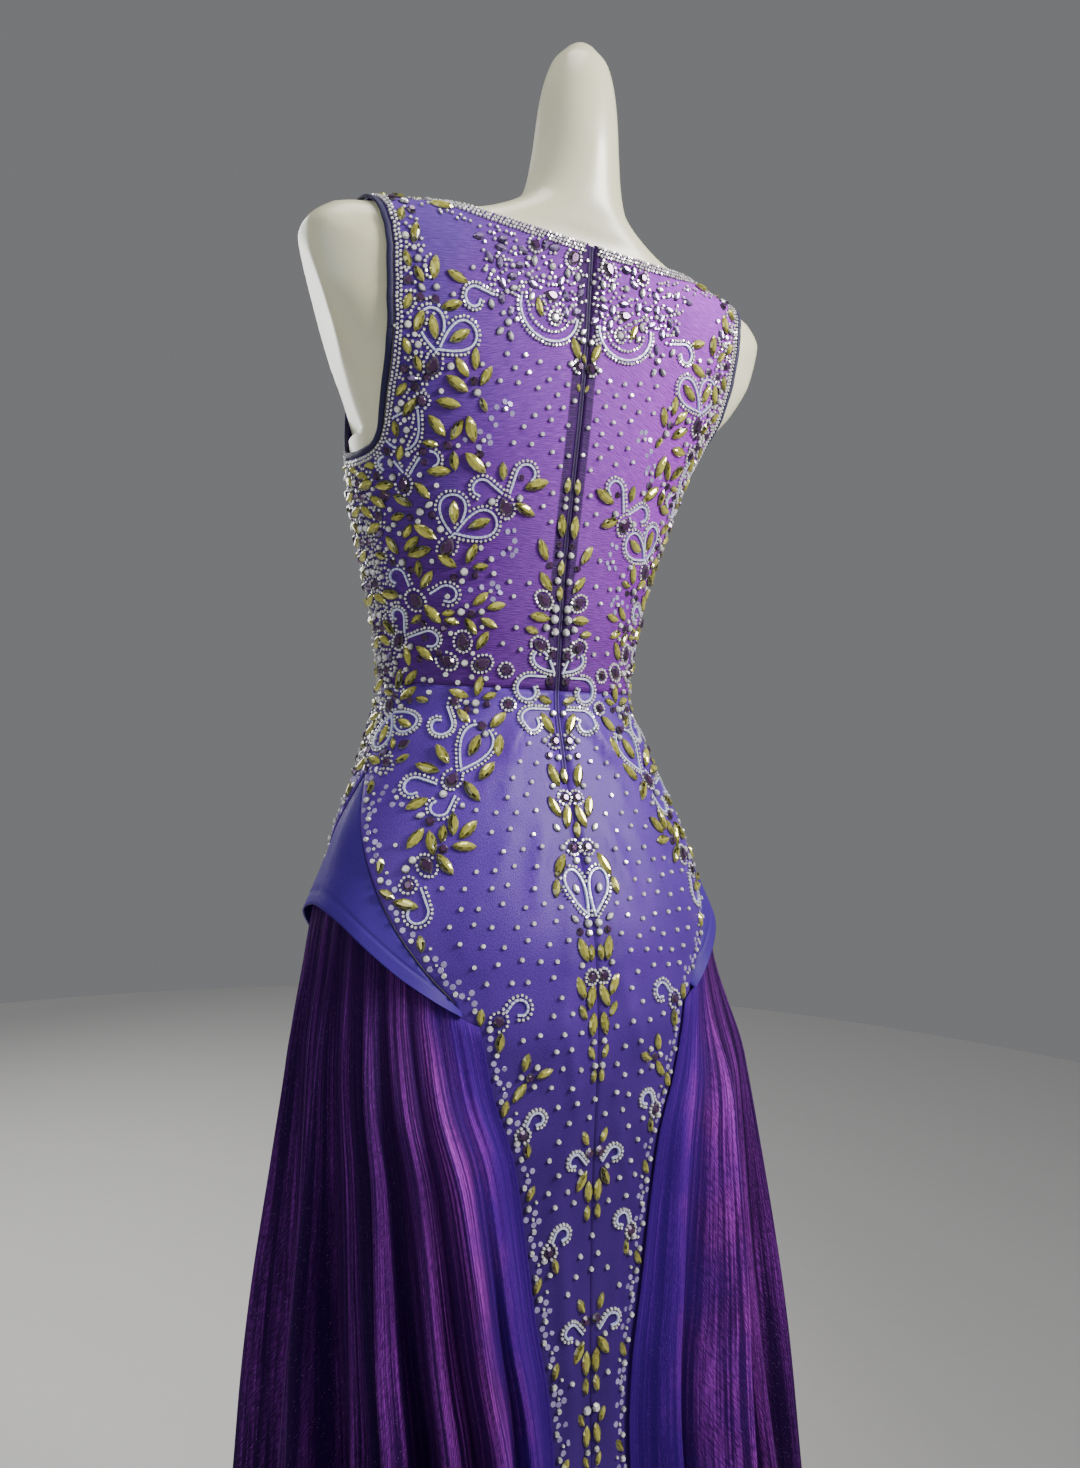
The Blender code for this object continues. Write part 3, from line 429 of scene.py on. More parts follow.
class Nodes:
    # a node tree with short ways to add to it; each gives back an output or a node's outputs
    def __init__(self, tree):
        self.tree = tree

    def link(self, value, socket):
        self.tree.links.new(value, socket)

    def add(self, kind, settings=None, **inputs):
        # an input is named by its label, or by the letter i and its number
        node = self.tree.nodes.new(kind)
        for key, value in (settings or {}).items():
            setattr(node, key, value)
        for key, value in inputs.items():
            numbered = key[0] == "i" and key[1:].isdigit()
            socket = node.inputs[int(key[1:]) if numbered else key]
            if isinstance(value, bpy.types.NodeSocket):
                self.link(value, socket)
            else:
                socket.default_value = value
        return node.outputs

    def maths(self, operation, first, second=0.0):
        return self.add("ShaderNodeMath", {"operation": operation}, i0=first, i1=second)[0]

    def times(self, first, second):
        return self.maths("MULTIPLY", first, second)

    def plus(self, first, second):
        return self.maths("ADD", first, second)

    def minus(self, first, second):
        return self.maths("SUBTRACT", first, second)

    def mix(self, share, *colours):
        first, second = ((*c, 1.0) if isinstance(c, tuple) else c for c in colours)
        return self.add("ShaderNodeMix", {"data_type": "RGBA"}, i0=share, i6=first, i7=second)[2]

    def span(self, value, low, high, toLow=0.0, toHigh=1.0):
        return self.add("ShaderNodeMapRange", i0=value, i1=low, i2=high, i3=toLow, i4=toHigh)[0]

    def combine(self, x, y, z=0.0):
        return self.add("ShaderNodeCombineXYZ", X=x, Y=y, Z=z)[0]

    def split(self, vector):
        return self.add("ShaderNodeSeparateXYZ", Vector=vector)

    def noise(self, place, scale, detail=1.0):
        return self.add("ShaderNodeTexNoise", Vector=place, Scale=scale, Detail=detail)[0]

    def place(self):
        return self.add("ShaderNodeTexCoord")["Object"]

    def cloth(self):
        return self.add("ShaderNodeUVMap", {"uv_map": "cloth"})[0]

    def attribute(self, name):
        return self.add("ShaderNodeAttribute", {"attribute_name": name})["Fac"]

    def streaks(self, place, across, up, grain):
        group = {"node_tree": streakGroup}
        return self.add("ShaderNodeGroup", group, Coordinates=place, Across=across, Up=up, Grain=grain)


def newGroup(kind, name, inputs, outputs):
    # a node group with its sockets; an input may have a starting value
    tree = bpy.data.node_groups.new(name, kind)
    for label, socketKind, *start in inputs:
        socket = tree.interface.new_socket(label, in_out="INPUT", socket_type=socketKind)
        if start:
            socket.default_value = start[0]
    for label, socketKind in outputs:
        tree.interface.new_socket(label, in_out="OUTPUT", socket_type=socketKind)
    return Nodes(tree), tree.nodes.new("NodeGroupInput").outputs, tree.nodes.new("NodeGroupOutput").inputs


def buildStreakGroup():
    # streaks that run up the cloth, a finer grain between them, and broad clouds
    nodes, entry, leave = newGroup(
        "ShaderNodeTree",
        "clothStreaks",
        [
            ("Coordinates", "NodeSocketVector"),
            ("Across", "NodeSocketFloat", 900.0),
            ("Up", "NodeSocketFloat", 25.0),
            ("Grain", "NodeSocketFloat", 1800.0),
        ],
        [("Streaks", "NodeSocketFloat"), ("Grain", "NodeSocketFloat"), ("Cloud", "NodeSocketFloat")],
    )
    place = entry["Coordinates"]
    x, y, _ = nodes.split(place)
    stretched = nodes.combine(nodes.times(x, entry["Across"]), nodes.times(y, entry["Up"]))
    nodes.link(nodes.span(nodes.noise(stretched, 1.0, 2.0), 0.34, 0.66), leave["Streaks"])
    nodes.link(nodes.span(nodes.noise(place, entry["Grain"]), 0.3, 0.7), leave["Grain"])
    nodes.link(nodes.span(nodes.noise(place, 14.0, 3.0), 0.3, 0.7), leave["Cloud"])
    return nodes.tree


streakGroup = buildStreakGroup()


def newMaterial(name, constants):
    material = bpy.data.materials.new(name)
    material.use_nodes = True
    shader = material.node_tree.nodes["Principled BSDF"]
    for label, value in constants.items():
        shader.inputs[label].default_value = value
    return material, Nodes(material.node_tree), shader.inputs


def sheen(weight, tint, specular, roughness=0.30):
    return {
        "Sheen Weight": weight,
        "Sheen Tint": (*tint, 1.0),
        "Sheen Roughness": roughness,
        "Specular IOR Level": specular,
    }


def finish(nodes, shader, colour, roughness, height, strength, distance):
    bump = nodes.add("ShaderNodeBump", Strength=strength, Distance=distance, Height=height)[0]
    for value, label in ((colour, "Base Color"), (roughness, "Roughness"), (bump, "Normal")):
        nodes.link(value, shader[label])


def crinkleMesh():
    material, nodes, shader = newMaterial("bodiceCrinkleMesh", sheen(0.05, (0.75, 0.35, 1.0), 0.20, 0.35))
    # crinkle lines run across the bodice, so the two axes change places
    across, up, _ = nodes.split(nodes.cloth())
    crinkle = nodes.streaks(nodes.combine(up, across), 1250.0, 95.0, 1500.0)
    x, y, z = nodes.split(nodes.place())
    # painted light and shade: darker and bluer on the wearer's left and low down, where the shade falls,
    # lighter and pinker on the right, where the key light falls
    wander = nodes.times(nodes.minus(crinkle["Cloud"], 0.5), 0.05)
    paintedLightToRight = nodes.span(nodes.plus(x, wander), 0.13, -0.10)
    low = nodes.span(z, 1.32, 1.13, 0.0, 0.72)
    base = nodes.mix(paintedLightToRight, (0.066, 0.020, 0.25), (0.215, 0.014, 0.44))
    light = nodes.mix(paintedLightToRight, (0.155, 0.062, 0.42), (0.60, 0.080, 0.86))
    base = nodes.mix(low, base, (0.036, 0.004, 0.105))
    light = nodes.mix(low, light, (0.15, 0.022, 0.30))
    share = nodes.plus(nodes.times(crinkle["Streaks"], 0.55), nodes.times(crinkle["Cloud"], 0.30))
    colour = nodes.mix(share, base, light)
    # the mesh lies double beside the zip
    besideZip = nodes.span(nodes.maths("ABSOLUTE", x), 0.0122, 0.0108)
    doubled = nodes.times(besideZip, nodes.span(y, 0.0, 0.02))
    placket = nodes.mix(nodes.times(crinkle["Streaks"], 0.8), (0.010, 0.0003, 0.036), (0.050, 0.003, 0.12))
    colour = nodes.mix(nodes.times(doubled, 0.92), colour, placket)
    roughness = nodes.span(crinkle["Grain"], 0.0, 1.0, 0.46, 0.66)
    height = nodes.plus(crinkle["Streaks"], nodes.times(crinkle["Grain"], 0.3))
    finish(nodes, shader, colour, roughness, height, 0.50, 0.0006)
    return material


def zipLips():
    material, nodes, shader = newMaterial("zipLips", {"Specular IOR Level": 0.35})
    place = nodes.place()
    x, _, z = nodes.split(place)
    grain = nodes.streaks(place, 900.0, 900.0, 1900.0)["Grain"]
    colour = nodes.mix(nodes.span(z, 1.101, 1.099), (0.022, 0.001, 0.060), (0.090, 0.028, 0.32))
    # only the line where the two lips meet is dark
    fromLine = nodes.span(nodes.maths("ABSOLUTE", x), 0.0004, 0.0012)
    colour = nodes.mix(fromLine, (0.004, 0.001, 0.012), colour)
    colour = nodes.mix(nodes.times(grain, 0.2), colour, (0.10, 0.035, 0.32))
    finish(nodes, shader, colour, nodes.span(grain, 0.0, 1.0, 0.45, 0.65), grain, 0.4, 0.0004)
    return material


def softSatin(name, dark, bright, roughness, paintedShadeDepth):
    material, nodes, shader = newMaterial(name, sheen(0.08, (0.62, 0.38, 1.0), 0.24))
    weave = nodes.streaks(nodes.cloth(), 700.0, 90.0, 1000.0)
    share = nodes.plus(nodes.times(weave["Grain"], 0.50), nodes.times(weave["Cloud"], 0.35))
    # painted shade: the satin darkens from the hips down, where the light falls off
    paintedShadeBelowHips = nodes.span(nodes.split(nodes.place())[2], 0.98, 0.74, 0.0, paintedShadeDepth)
    colour = nodes.mix(paintedShadeBelowHips, nodes.mix(share, dark, bright), (0.022, 0.007, 0.080))
    rough = nodes.span(weave["Grain"], 0.0, 1.0, roughness - 0.06, roughness + 0.12)
    finish(nodes, shader, colour, rough, weave["Grain"], 0.30, 0.0004)
    return material


def shimmerTulle():
    material, nodes, shader = newMaterial("shimmerTulle", sheen(0.06, (0.75, 0.20, 1.0), 0.10))
    place = nodes.cloth()
    threads = nodes.streaks(place, 150.0, 2.2, 1400.0)
    x, y, _ = nodes.split(place)
    # short slanting dashes, as the crinkled net shows
    slanted = nodes.plus(nodes.times(x, 780.0), nodes.times(y, 420.0))
    dashes = nodes.span(nodes.noise(nodes.combine(slanted, nodes.times(y, 190.0)), 1.0), 0.36, 0.66)
    # blue violet beside the satin, then purple, then plum towards the side
    offMiddle = nodes.maths("ABSOLUTE", nodes.minus(nodes.attribute("gatherShare"), 0.5))
    fromEdge = nodes.minus(0.5, offMiddle)
    wander = nodes.times(nodes.minus(threads["Cloud"], 0.5), 0.06)
    depth = nodes.span(nodes.plus(fromEdge, wander), 0.045, 0.125)
    plum = nodes.span(fromEdge, 0.11, 0.24)
    # base is the tulle's colour in painted shade, light its colour in its own shimmer and in the painted
    # highlight
    base = nodes.mix(depth, (0.040, 0.004, 0.20), (0.034, 0.002, 0.090))
    light = nodes.mix(depth, (0.140, 0.016, 0.44), (0.54, 0.075, 0.70))
    base = nodes.mix(plum, base, (0.016, 0.001, 0.050))
    light = nodes.mix(plum, light, (0.30, 0.036, 0.46))
    # painted highlight on the fold crests and painted shade in the valleys, which the tulle's own shimmer
    # then varies
    paintedCrestHighlight = nodes.span(nodes.attribute("crest"), 0.20, 1.05, 0.16, 0.90)
    shimmerAndPaintedHighlight = nodes.times(paintedCrestHighlight, nodes.span(fromEdge, 0.12, 0.24, 1.75, 0.75))
    # uneven bands and fine hairs, for the tulle lies in many loose layers
    for wide, tall, low, high in ((30.0, 0.9, 0.34, 1.0), (820.0, 16.0, 0.22, 1.15)):
        band = nodes.noise(nodes.combine(nodes.times(x, wide), nodes.times(y, tall)), 1.0)
        shimmerAndPaintedHighlight = nodes.times(shimmerAndPaintedHighlight, nodes.span(band, 0.36, 0.64, low, high))
    shimmerAndPaintedHighlight = nodes.times(shimmerAndPaintedHighlight, nodes.plus(0.34, dashes))
    shimmerAndPaintedHighlight = nodes.times(shimmerAndPaintedHighlight, nodes.span(threads["Streaks"], 0.34, 0.78, 0.08, 1.40))
    # broad veils of painted light, where two layers of the tulle catch it together
    shimmerAndPaintedHighlight = nodes.times(shimmerAndPaintedHighlight, nodes.span(nodes.noise(place, 7.0), 0.35, 0.62, 0.50, 1.20))
    # loose glitter, its specks painted as bright glints
    glitter = nodes.add("ShaderNodeTexVoronoi", Vector=place, Scale=760.0)
    chosen = nodes.add("ShaderNodeSeparateColor", Color=glitter["Color"])[0]
    paintedGlitterGlint = nodes.maths("LESS_THAN", glitter["Distance"], 0.13)
    paintedGlitterGlint = nodes.times(paintedGlitterGlint, nodes.maths("GREATER_THAN", chosen, 0.72))
    colour = nodes.mix(nodes.times(paintedGlitterGlint, 0.8), nodes.mix(shimmerAndPaintedHighlight, base, light), (0.72, 0.42, 0.92))
    nodes.link(nodes.times(shimmerAndPaintedHighlight, 0.30), shader["Metallic"])
    roughness = nodes.span(threads["Grain"], 0.0, 1.0, 0.42, 0.66)
    finish(nodes, shader, colour, roughness, nodes.plus(dashes, threads["Streaks"]), 0.45, 0.0007)
    return material


def plainFinish(name, constants, scales, mark, dark, bright, roughness, bump):
    # a finish that only its own grain or clouds vary
    material, nodes, shader = newMaterial(name, constants)
    marks = nodes.streaks(nodes.place(), *scales)
    rough = nodes.span(marks[mark], 0.0, 1.0, *roughness)
    finish(nodes, shader, nodes.mix(marks[mark], dark, bright), rough, marks["Grain"], *bump)
    return material


lacquer = {
    "Coat Weight": 0.35,
    "Coat Roughness": 0.22,
    "Subsurface Weight": 0.04,
    "Subsurface Radius": (0.01, 0.008, 0.005),
}
cloths = {
    "mesh": crinkleMesh(),
    "zip": zipLips(),
    # the last number of each satin is how strong its painted shade from the hips down is
    "satin": softSatin("satin", (0.050, 0.014, 0.22), (0.190, 0.062, 0.58), 0.40, 0.62),
    "yokeSatin": softSatin("yokeSatin", (0.034, 0.009, 0.19), (0.076, 0.026, 0.38), 0.48, 0.0),
    "tulle": shimmerTulle(),
    "binding": plainFinish(
        "navyBinding", {"Sheen Weight": 0.1, "Specular IOR Level": 0.35}, (900.0, 900.0, 1600.0), "Grain",
        (0.006, 0.005, 0.030), (0.030, 0.022, 0.11), (0.45, 0.7), (0.4, 0.0004),
    ),
    "ivory": plainFinish(
        "ivoryGloss", lacquer, (30.0, 30.0, 260.0), "Cloud",
        (0.86, 0.84, 0.55), (0.93, 0.92, 0.66), (0.26, 0.38), (0.06, 0.0006),
    ),
    "steel": plainFinish(
        "brushedSteel", {"Metallic": 1.0, "Anisotropic": 0.4}, (60.0, 60.0, 900.0), "Grain",
        (0.50, 0.50, 0.52), (0.66, 0.66, 0.68), (0.22, 0.40), (0.1, 0.0003),
    ),
}
print("materials made")

# The dress form: one smooth skin with flat slanted faces where arms would start
form = {
    "foot": 0.600,
    "rounding": 0.030,
    "footShare": 0.86,
    "poleY": 0.012,
    "neckTip": (0.0, 0.052, 1.624),
    "cap": {"lowZ": 1.298, "lowX": 0.1545, "slope": 0.45, "underSlope": 3.0, "tilt": 0.35, "edge": 0.0009},
    "angles": 144,
    "rowStep": 0.0066,
    # first height, last height and step of the rows through the caps; first and last of the neck
    "capRows": (1.25, 1.4610, 0.0027),
    "neckRows": (1.4615, 1.619, 46),
    "footRings": 9,
    # share of the way to the neck's tip and lift of each closing ring
    "closing": ((0.35, 0.0012), (0.65, 0.0014), (0.88, 0.0007)),
    "sharpAngle": 38,
}


def formPoint(height, angle):
    points = figurePoint(height, angle)
    cap = form["cap"]
    above = points[..., 2] - cap["lowZ"]
    slope = np.where(above > 0, cap["slope"], -cap["underSlope"])
    limit = cap["lowX"] + slope * above + cap["tilt"] * points[..., 1]
    x = np.abs(points[..., 0])
    over = (x - limit) / cap["edge"]
    eased = limit - cap["edge"] * np.logaddexp(0.0, -np.clip(over, -40, 40))
    eased = np.where(over < -8, x, eased)
    points[..., 0] = np.sign(points[..., 0]) * np.minimum(eased, x)
    return points


def buildForm():
    angles = np.linspace(0, 360, form["angles"], endpoint=False)
    low = np.arange(form["foot"], form["capRows"][0], form["rowStep"])
    heights = np.concatenate([low, np.arange(*form["capRows"]), np.linspace(*form["neckRows"])])
    rings = formPoint(heights[None, :], angles[:, None])
    first = rings[:, 0]
    middle = np.array([0.0, form["poleY"], form["foot"]])
    foot = []
    for k in range(form["footRings"]):
        turn = math.pi / 2 * (1 - k / form["footRings"])
        share = 1 - (1 - form["footShare"]) * (1 - math.cos(turn))
        ring = middle + (first - middle) * share
        ring[:, 2] = form["foot"] - form["rounding"] * math.sin(turn)
        foot.append(ring)
    grid = np.concatenate([np.stack(foot, axis=1), rings], axis=1)
    tip = np.array(form["neckTip"])
    closing = []
    for toTip, lift in form["closing"]:
        closing.append(grid[:, -1] + (tip - grid[:, -1]) * toTip)
        closing[-1][:, 2] += lift
    grid = np.concatenate([grid, np.stack(closing, axis=1)], axis=1)
    across, up = grid.shape[:2]
    number = np.arange(across * up).reshape(across, up)
    following = np.roll(number, -1, axis=0)
    faces = np.stack([number[:, :-1], number[:, 1:], following[:, 1:], following[:, :-1]], axis=-1)
    faces = faces.reshape(-1, 4).tolist()
    below = [0.0, form["poleY"], form["foot"] - form["rounding"]]
    vertices = grid.reshape(-1, 3).tolist() + [tip.tolist(), below]
    tipNumber, footNumber = len(vertices) - 2, len(vertices) - 1
    for k in range(across):
        faces.append([number[k, -1], tipNumber, following[k, -1]])
        faces.append([number[k, 0], following[k, 0], footNumber])
    piece = meshPiece("formTorsoSkin", vertices, faces, cloths["ivory"])
    piece.data.set_sharp_from_angle(angle=math.radians(form["sharpAngle"]))
    settle(piece, "form_torso")


buildForm()
print("form made")

# The bodice: sheer mesh backs and front
bodice = {
    "wall": 0.0009,
    "rise": 0.0006,
    "edgeRoll": (0.0007, 0.0022),
    "zipHalf": 0.0025,
    "sideRows": 9,
    "backColumns": 11,
    "frontHalfColumns": 12,
    "shoulderColumns": 3,
    "neckEase": 0.18,
    # height at the armhole, at centre, bend to the shoulder, evenness by width
    "upperRows": (
        (1.2795, 1.2810, 0.00, 0.00),
        (1.2900, 1.2940, 0.00, 0.10),
        (1.3090, 1.3130, 0.00, 0.40),
        (1.3340, 1.3370, 0.00, 0.80),
        (1.3610, 1.3630, 0.00, 1.00),
        (1.3890, 1.3900, 0.00, 1.00),
        (1.4130, 1.4140, 0.00, 1.00),
        (1.4310, 1.4330, 0.00, 1.00),
        (1.4420, 1.4450, 0.12, 1.00),
        (1.4482, 1.4520, 0.40, 1.00),
        (1.4511, 1.4562, 0.70, 1.00),
        (1.4523, 1.4586, 0.90, 1.00),
        (1.4528, 1.4598, 0.98, 1.00),
        (1.4530, 1.4605, 1.00, 1.00),
    ),
    "acrossStep": 52,
    "frontAcross": 104,
    "upStep": 108,
    # height, angle, height, angle, width, depth of each soft crease
    "backCreases": (
        (1.128, 12.0, 1.150, 58.0, 0.0040, 0.0012),
        (1.150, 22.0, 1.182, 66.0, 0.0055, 0.0009),
        (1.112, 30.0, 1.118, 74.0, 0.0035, 0.0013),
        (1.205, 40.0, 1.262, 78.0, 0.0070, 0.0011),
        (1.310, 52.0, 1.268, 76.0, 0.0060, 0.0010),
        (1.395, 22.0, 1.352, 52.0, 0.0075, 0.0009),
        (1.122, 48.0, 1.140, 84.0, 0.0038, 0.0011),
    ),
    "frontCreases": (
        (1.118, 104.0, 1.132, 150.0, 0.0042, 0.0012),
        (1.140, 110.0, 1.168, 146.0, 0.0055, 0.0010),
        (1.225, 100.0, 1.262, 128.0, 0.0060, 0.0012),
        (1.112, 186.0, 1.122, 226.0, 0.0036, 0.0012),
        (1.150, 200.0, 1.128, 250.0, 0.0050, 0.0010),
        (1.215, 262.0, 1.255, 236.0, 0.0065, 0.0011),
        (1.350, 150.0, 1.318, 122.0, 0.0070, 0.0009),
        (1.362, 212.0, 1.322, 240.0, 0.0060, 0.0009),
    ),
}


def armholeAngle(height, front=False):
    height = np.asarray(height, float)
    width = armholeFrontAt(height) if front else armholeBackAt(height)
    angle = angleAtWidth(figurePoint, height, width, front)
    plain = (height <= figure["underarm"]) | (height >= figure["shoulderPoint"])
    return np.where(plain, 90.0, angle)


def bodicePlace(row, column, across, start, front=False):
    edgeHeight, centreHeight, bend, even = row
    share = column / across
    neckShare = (across - bodice["shoulderColumns"]) / across
    slope = max(share - neckShare, 0.0) / (1 - neckShare)
    point, neck = figure["shoulderPoint"], figure["neckline"]
    straight = point + (neck - point) * (1 - share)
    height = edgeHeight + (centreHeight - edgeHeight) * (1 - share)
    height += bend * (neck + (point - neck) * slope - straight)
    first = 180.0 if front else 0.0
    if start:
        first = float(angleAtWidth(figurePoint, height, start, front))
    out = -1 if front else 1
    last = float(armholeAngle(edgeHeight, front))
    last -= out * float(seamTurn(figurePoint, edgeHeight, last, figure["seamGap"] / 2))
    if bend == 1 and share >= neckShare:
        return height, 90.0 - out * float(seamTurn(figurePoint, height, 90.0, figure["seamGap"] / 2))
    byAngle = first + (last - first) * share
    if even == 0 or column in (0, across):
        return height, byAngle
    edgeX = float(figurePoint(edgeHeight, last)[0])
    neckX = float(figurePoint(neck, 90.0)[0])
    level = min(share / neckShare, 1.0)
    offset = neckX - float(figurePoint(point, 90.0)[0]) * neckShare
    width = start + (edgeX - start) * share
    width += bend * offset * min(level, (1 - share) / (1 - neckShare))
    width += bend * neckX * bodice["neckEase"] * math.sin(math.pi * level)
    byWidth = float(angleAtWidth(figurePoint, height, width, front))
    return height, byAngle + (byWidth - byAngle) * even


def bodiceRows():
    heights = np.linspace(figure["waist"] + figure["seamGap"] / 2, figure["underarm"], bodice["sideRows"])
    return [(h, h, 0.0, 0.0) for h in heights.tolist()] + list(bodice["upperRows"])


def bodiceGrid(columns, across, start, front):
    rows = bodiceRows()
    heights, angles = [], []
    for column in columns:
        line = [bodicePlace(row, abs(column), across, start, front) for row in rows]
        heights.append([h for h, _ in line])
        angles.append([360 - a if column < 0 else a for _, a in line])
    return np.array(heights), np.array(angles)


def buildBodice():
    def coarse(columns, across, start, front, finer):
        grids = bodiceGrid(columns, across, start, front)
        return [refineGrid(grid, finer, bodice["upStep"]) for grid in grids]

    def sheet(*row):
        return creasedSheet(bodice, figurePoint, cloths["mesh"], "bodice_mesh", *row)

    across = bodice["backColumns"]
    start = bodice["zipHalf"] + figure["seamGap"]
    height, angle = coarse(range(across + 1), across, start, False, bodice["acrossStep"])
    rolled, creases = ("foot", "end"), bodice["backCreases"]
    made = [
        sheet("bodiceBack" + label, "bodice_back_" + word, height, angle, rolled, creases, side)
        for label, word, side in bothSides
    ]
    half = bodice["frontHalfColumns"]
    height, angle = coarse(range(half, -half - 1, -1), half, 0.0, True, bodice["frontAcross"])
    rolled = ("foot", "start", "end")
    return made + [sheet("bodiceFront", "bodice_front", height, angle, rolled, bodice["frontCreases"])]


bodicePieces = buildBodice()
print("bodice made")

# The zip: two rolled edges that meet at centre back
zipFly = {
    "end": 1.0285,
    "halfWidth": 0.0025,
    "topGap": 0.0005,
    "wall": 0.0008,
    "lift": 0.0007,
    "rows": 170,
    "columns": 12,
}


def buildZip():
    heights = np.linspace(zipFly["end"], figure["neckline"] - zipFly["topGap"], zipFly["rows"])
    shares = np.linspace(-1, 1, zipFly["columns"] + 1)
    edge = angleAtWidth(figurePoint, heights, zipFly["halfWidth"])
    angle = shares[:, None] * edge[None, :]
    height = np.broadcast_to(heights, angle.shape)
    roll = np.sqrt(np.clip(1 - (2 * np.abs(shares) - 1) ** 2, 0, 1))
    rise = zipFly["lift"] * roll[:, None] + np.zeros_like(angle)
    inner = raised(figurePoint, height, angle, np.full(angle.shape, figure["clothGap"]))
    outer = raised(figurePoint, height, angle, figure["clothGap"] + zipFly["wall"] + rise)
    piece = shellPiece("zipRolledEdges", inner, outer, cloths["zip"], clothUv(outer))
    settle(piece, "zip_tape")


buildZip()

# The armhole bindings: narrow rounded strips just inside each armhole edge
binding = {"start": 0.0008, "width": 0.0050, "thickness": 0.0026, "steps": 220, "sides": 14}


def armholeEdge(count):
    rows = [figure["underarm"]] + [row[0] for row in bodice["upperRows"]]
    back = [(h, float(armholeAngle(h))) for h in rows]
    front = [(h, float(armholeAngle(h, True))) for h in rows[-2:0:-1]]
    loop = np.array(back + front + [back[0]])
    along = lineLengths(figurePoint(loop[:, 0], loop[:, 1]))
    # the curve runs on past both ends, so that it closes smoothly
    wrapped = np.concatenate([along[:-1] - along[-1], along, along[1:] + along[-1]])
    places = np.linspace(0, along[-1], count, endpoint=False)
    out = []
    for k in range(2):
        values = np.concatenate([loop[:-1, k], loop[:, k], loop[1:, k]])
        out.append(smoothCurve(wrapped, values)(places))
    return out


def buildBindings():
    height, angle = armholeEdge(binding["steps"])
    points = figurePoint(height, angle)
    out = surfaceNormal(figurePoint, height, angle)
    inward = unit(np.cross(out, np.roll(points, -1, axis=0) - np.roll(points, 1, axis=0)))
    middle = points + inward * (binding["start"] + binding["width"] / 2)
    middle = middle + out * (figure["clothGap"] + binding["thickness"] / 2)
    turns = np.linspace(0, 2 * math.pi, binding["sides"], endpoint=False)
    for label, word, side in bothSides:
        ring = (
            middle[:, None]
            + inward[:, None] * (np.cos(turns) * binding["width"] / 2)[None, :, None]
            + out[:, None] * (np.sin(turns) * binding["thickness"] / 2)[None, :, None]
        )
        ring = ring * np.array([side, 1, 1])
        count, sides = ring.shape[:2]
        number = np.arange(count * sides).reshape(count, sides)
        ahead, around = np.roll(number, -1, axis=0), np.roll(number, -1, axis=1)
        both = np.roll(around, -1, axis=0)
        faces = np.stack([number, ahead, both, around], axis=-1).reshape(-1, 4)
        piece = meshPiece("armholeBinding" + label, ring.reshape(-1, 3), faces, cloths["binding"])
        settle(piece, "armhole_binding_" + word)


buildBindings()
print("zip and bindings made")

# The satin panels
panels = {
    "wall": 0.0010,
    "rise": 0.0005,
    "edgeRoll": (0.0008, 0.0026),
    "zipHalf": 0.0028,
    # below 1 the columns lie closer together near the overskirts
    "columnBend": 0.9,
    "backColumns": 38,
    "frontColumns": 68,
    "rows": 260,
    "frontRows": 190,
    "backCreases": (
        (1.088, 8.0, 1.010, 34.0, 0.0055, 0.0032),
        (1.092, 26.0, 1.028, 52.0, 0.0060, 0.0025),
        (1.082, 14.0, 1.040, 22.0, 0.0040, 0.0022),
        (1.076, 19.0, 1.004, 23.0, 0.0050, 0.0026),
        (1.090, 40.0, 1.052, 68.0, 0.0055, 0.0018),
        (1.000, 10.0, 0.930, 17.0, 0.0060, 0.0030),
        (0.992, 20.0, 0.940, 30.0, 0.0070, 0.0020),
        (0.975, 4.0, 0.885, 9.0, 0.0050, 0.0024),
        (0.958, 30.0, 0.902, 38.0, 0.0080, 0.0019),
        (0.900, 6.0, 0.800, 16.0, 0.0080, 0.0032),
        (0.860, 10.0, 0.770, 5.0, 0.0055, 0.0020),
        (0.780, 6.0, 0.690, 14.0, 0.0065, 0.0022),
        (0.720, 10.0, 0.560, 6.0, 0.0070, 0.0026),
        (0.600, 5.0, 0.430, 8.0, 0.0080, 0.0030),
        (0.400, 7.0, 0.060, 10.0, 0.0140, 0.0050),
        (0.300, 3.0, 0.010, 4.0, 0.0110, 0.0040),
    ),
    "frontCreases": (
        (1.085, 176.0, 1.020, 150.0, 0.0060, 0.0018),
        (1.088, 188.0, 1.032, 214.0, 0.0055, 0.0020),
        (1.020, 168.0, 0.950, 158.0, 0.0075, 0.0017),
        (0.940, 192.0, 0.850, 202.0, 0.0080, 0.0019),
        (0.860, 174.0, 0.700, 170.0, 0.0080, 0.0022),
        (0.700, 188.0, 0.500, 186.0, 0.0090, 0.0026),
        (0.430, 172.0, 0.080, 168.0, 0.0140, 0.0048),
        (0.320, 186.0, 0.010, 190.0, 0.0150, 0.0050),
    ),
}

tipAngle = float(angleAtWidth(panelPoint, skirt["yokeTip"], panelShownAt(skirt["yokeTip"])))


def yokeSeamAngle(height):
    share = np.clip((height - skirt["yokeTip"]) / (skirt["yokeApex"] - skirt["yokeTip"]), 0, 1)
    return tipAngle + (90.0 - tipAngle) * share ** skirt["seamBow"]


def yokeSeamHeight(angle):
    share = np.clip((angle - tipAngle) / (90.0 - tipAngle), 0, 1)
    return skirt["yokeTip"] + (skirt["yokeApex"] - skirt["yokeTip"]) * share ** (1 / skirt["seamBow"])


def skirtEdge(height, seam, below, front):
    # the side seam, then the yoke's seam, then the edge below the yoke's tip
    seam = 180.0 - seam if front else seam
    onYoke = np.where(height >= skirt["yokeTip"], seam, below)
    return np.where(height >= skirt["yokeApex"], 90.0, onYoke)


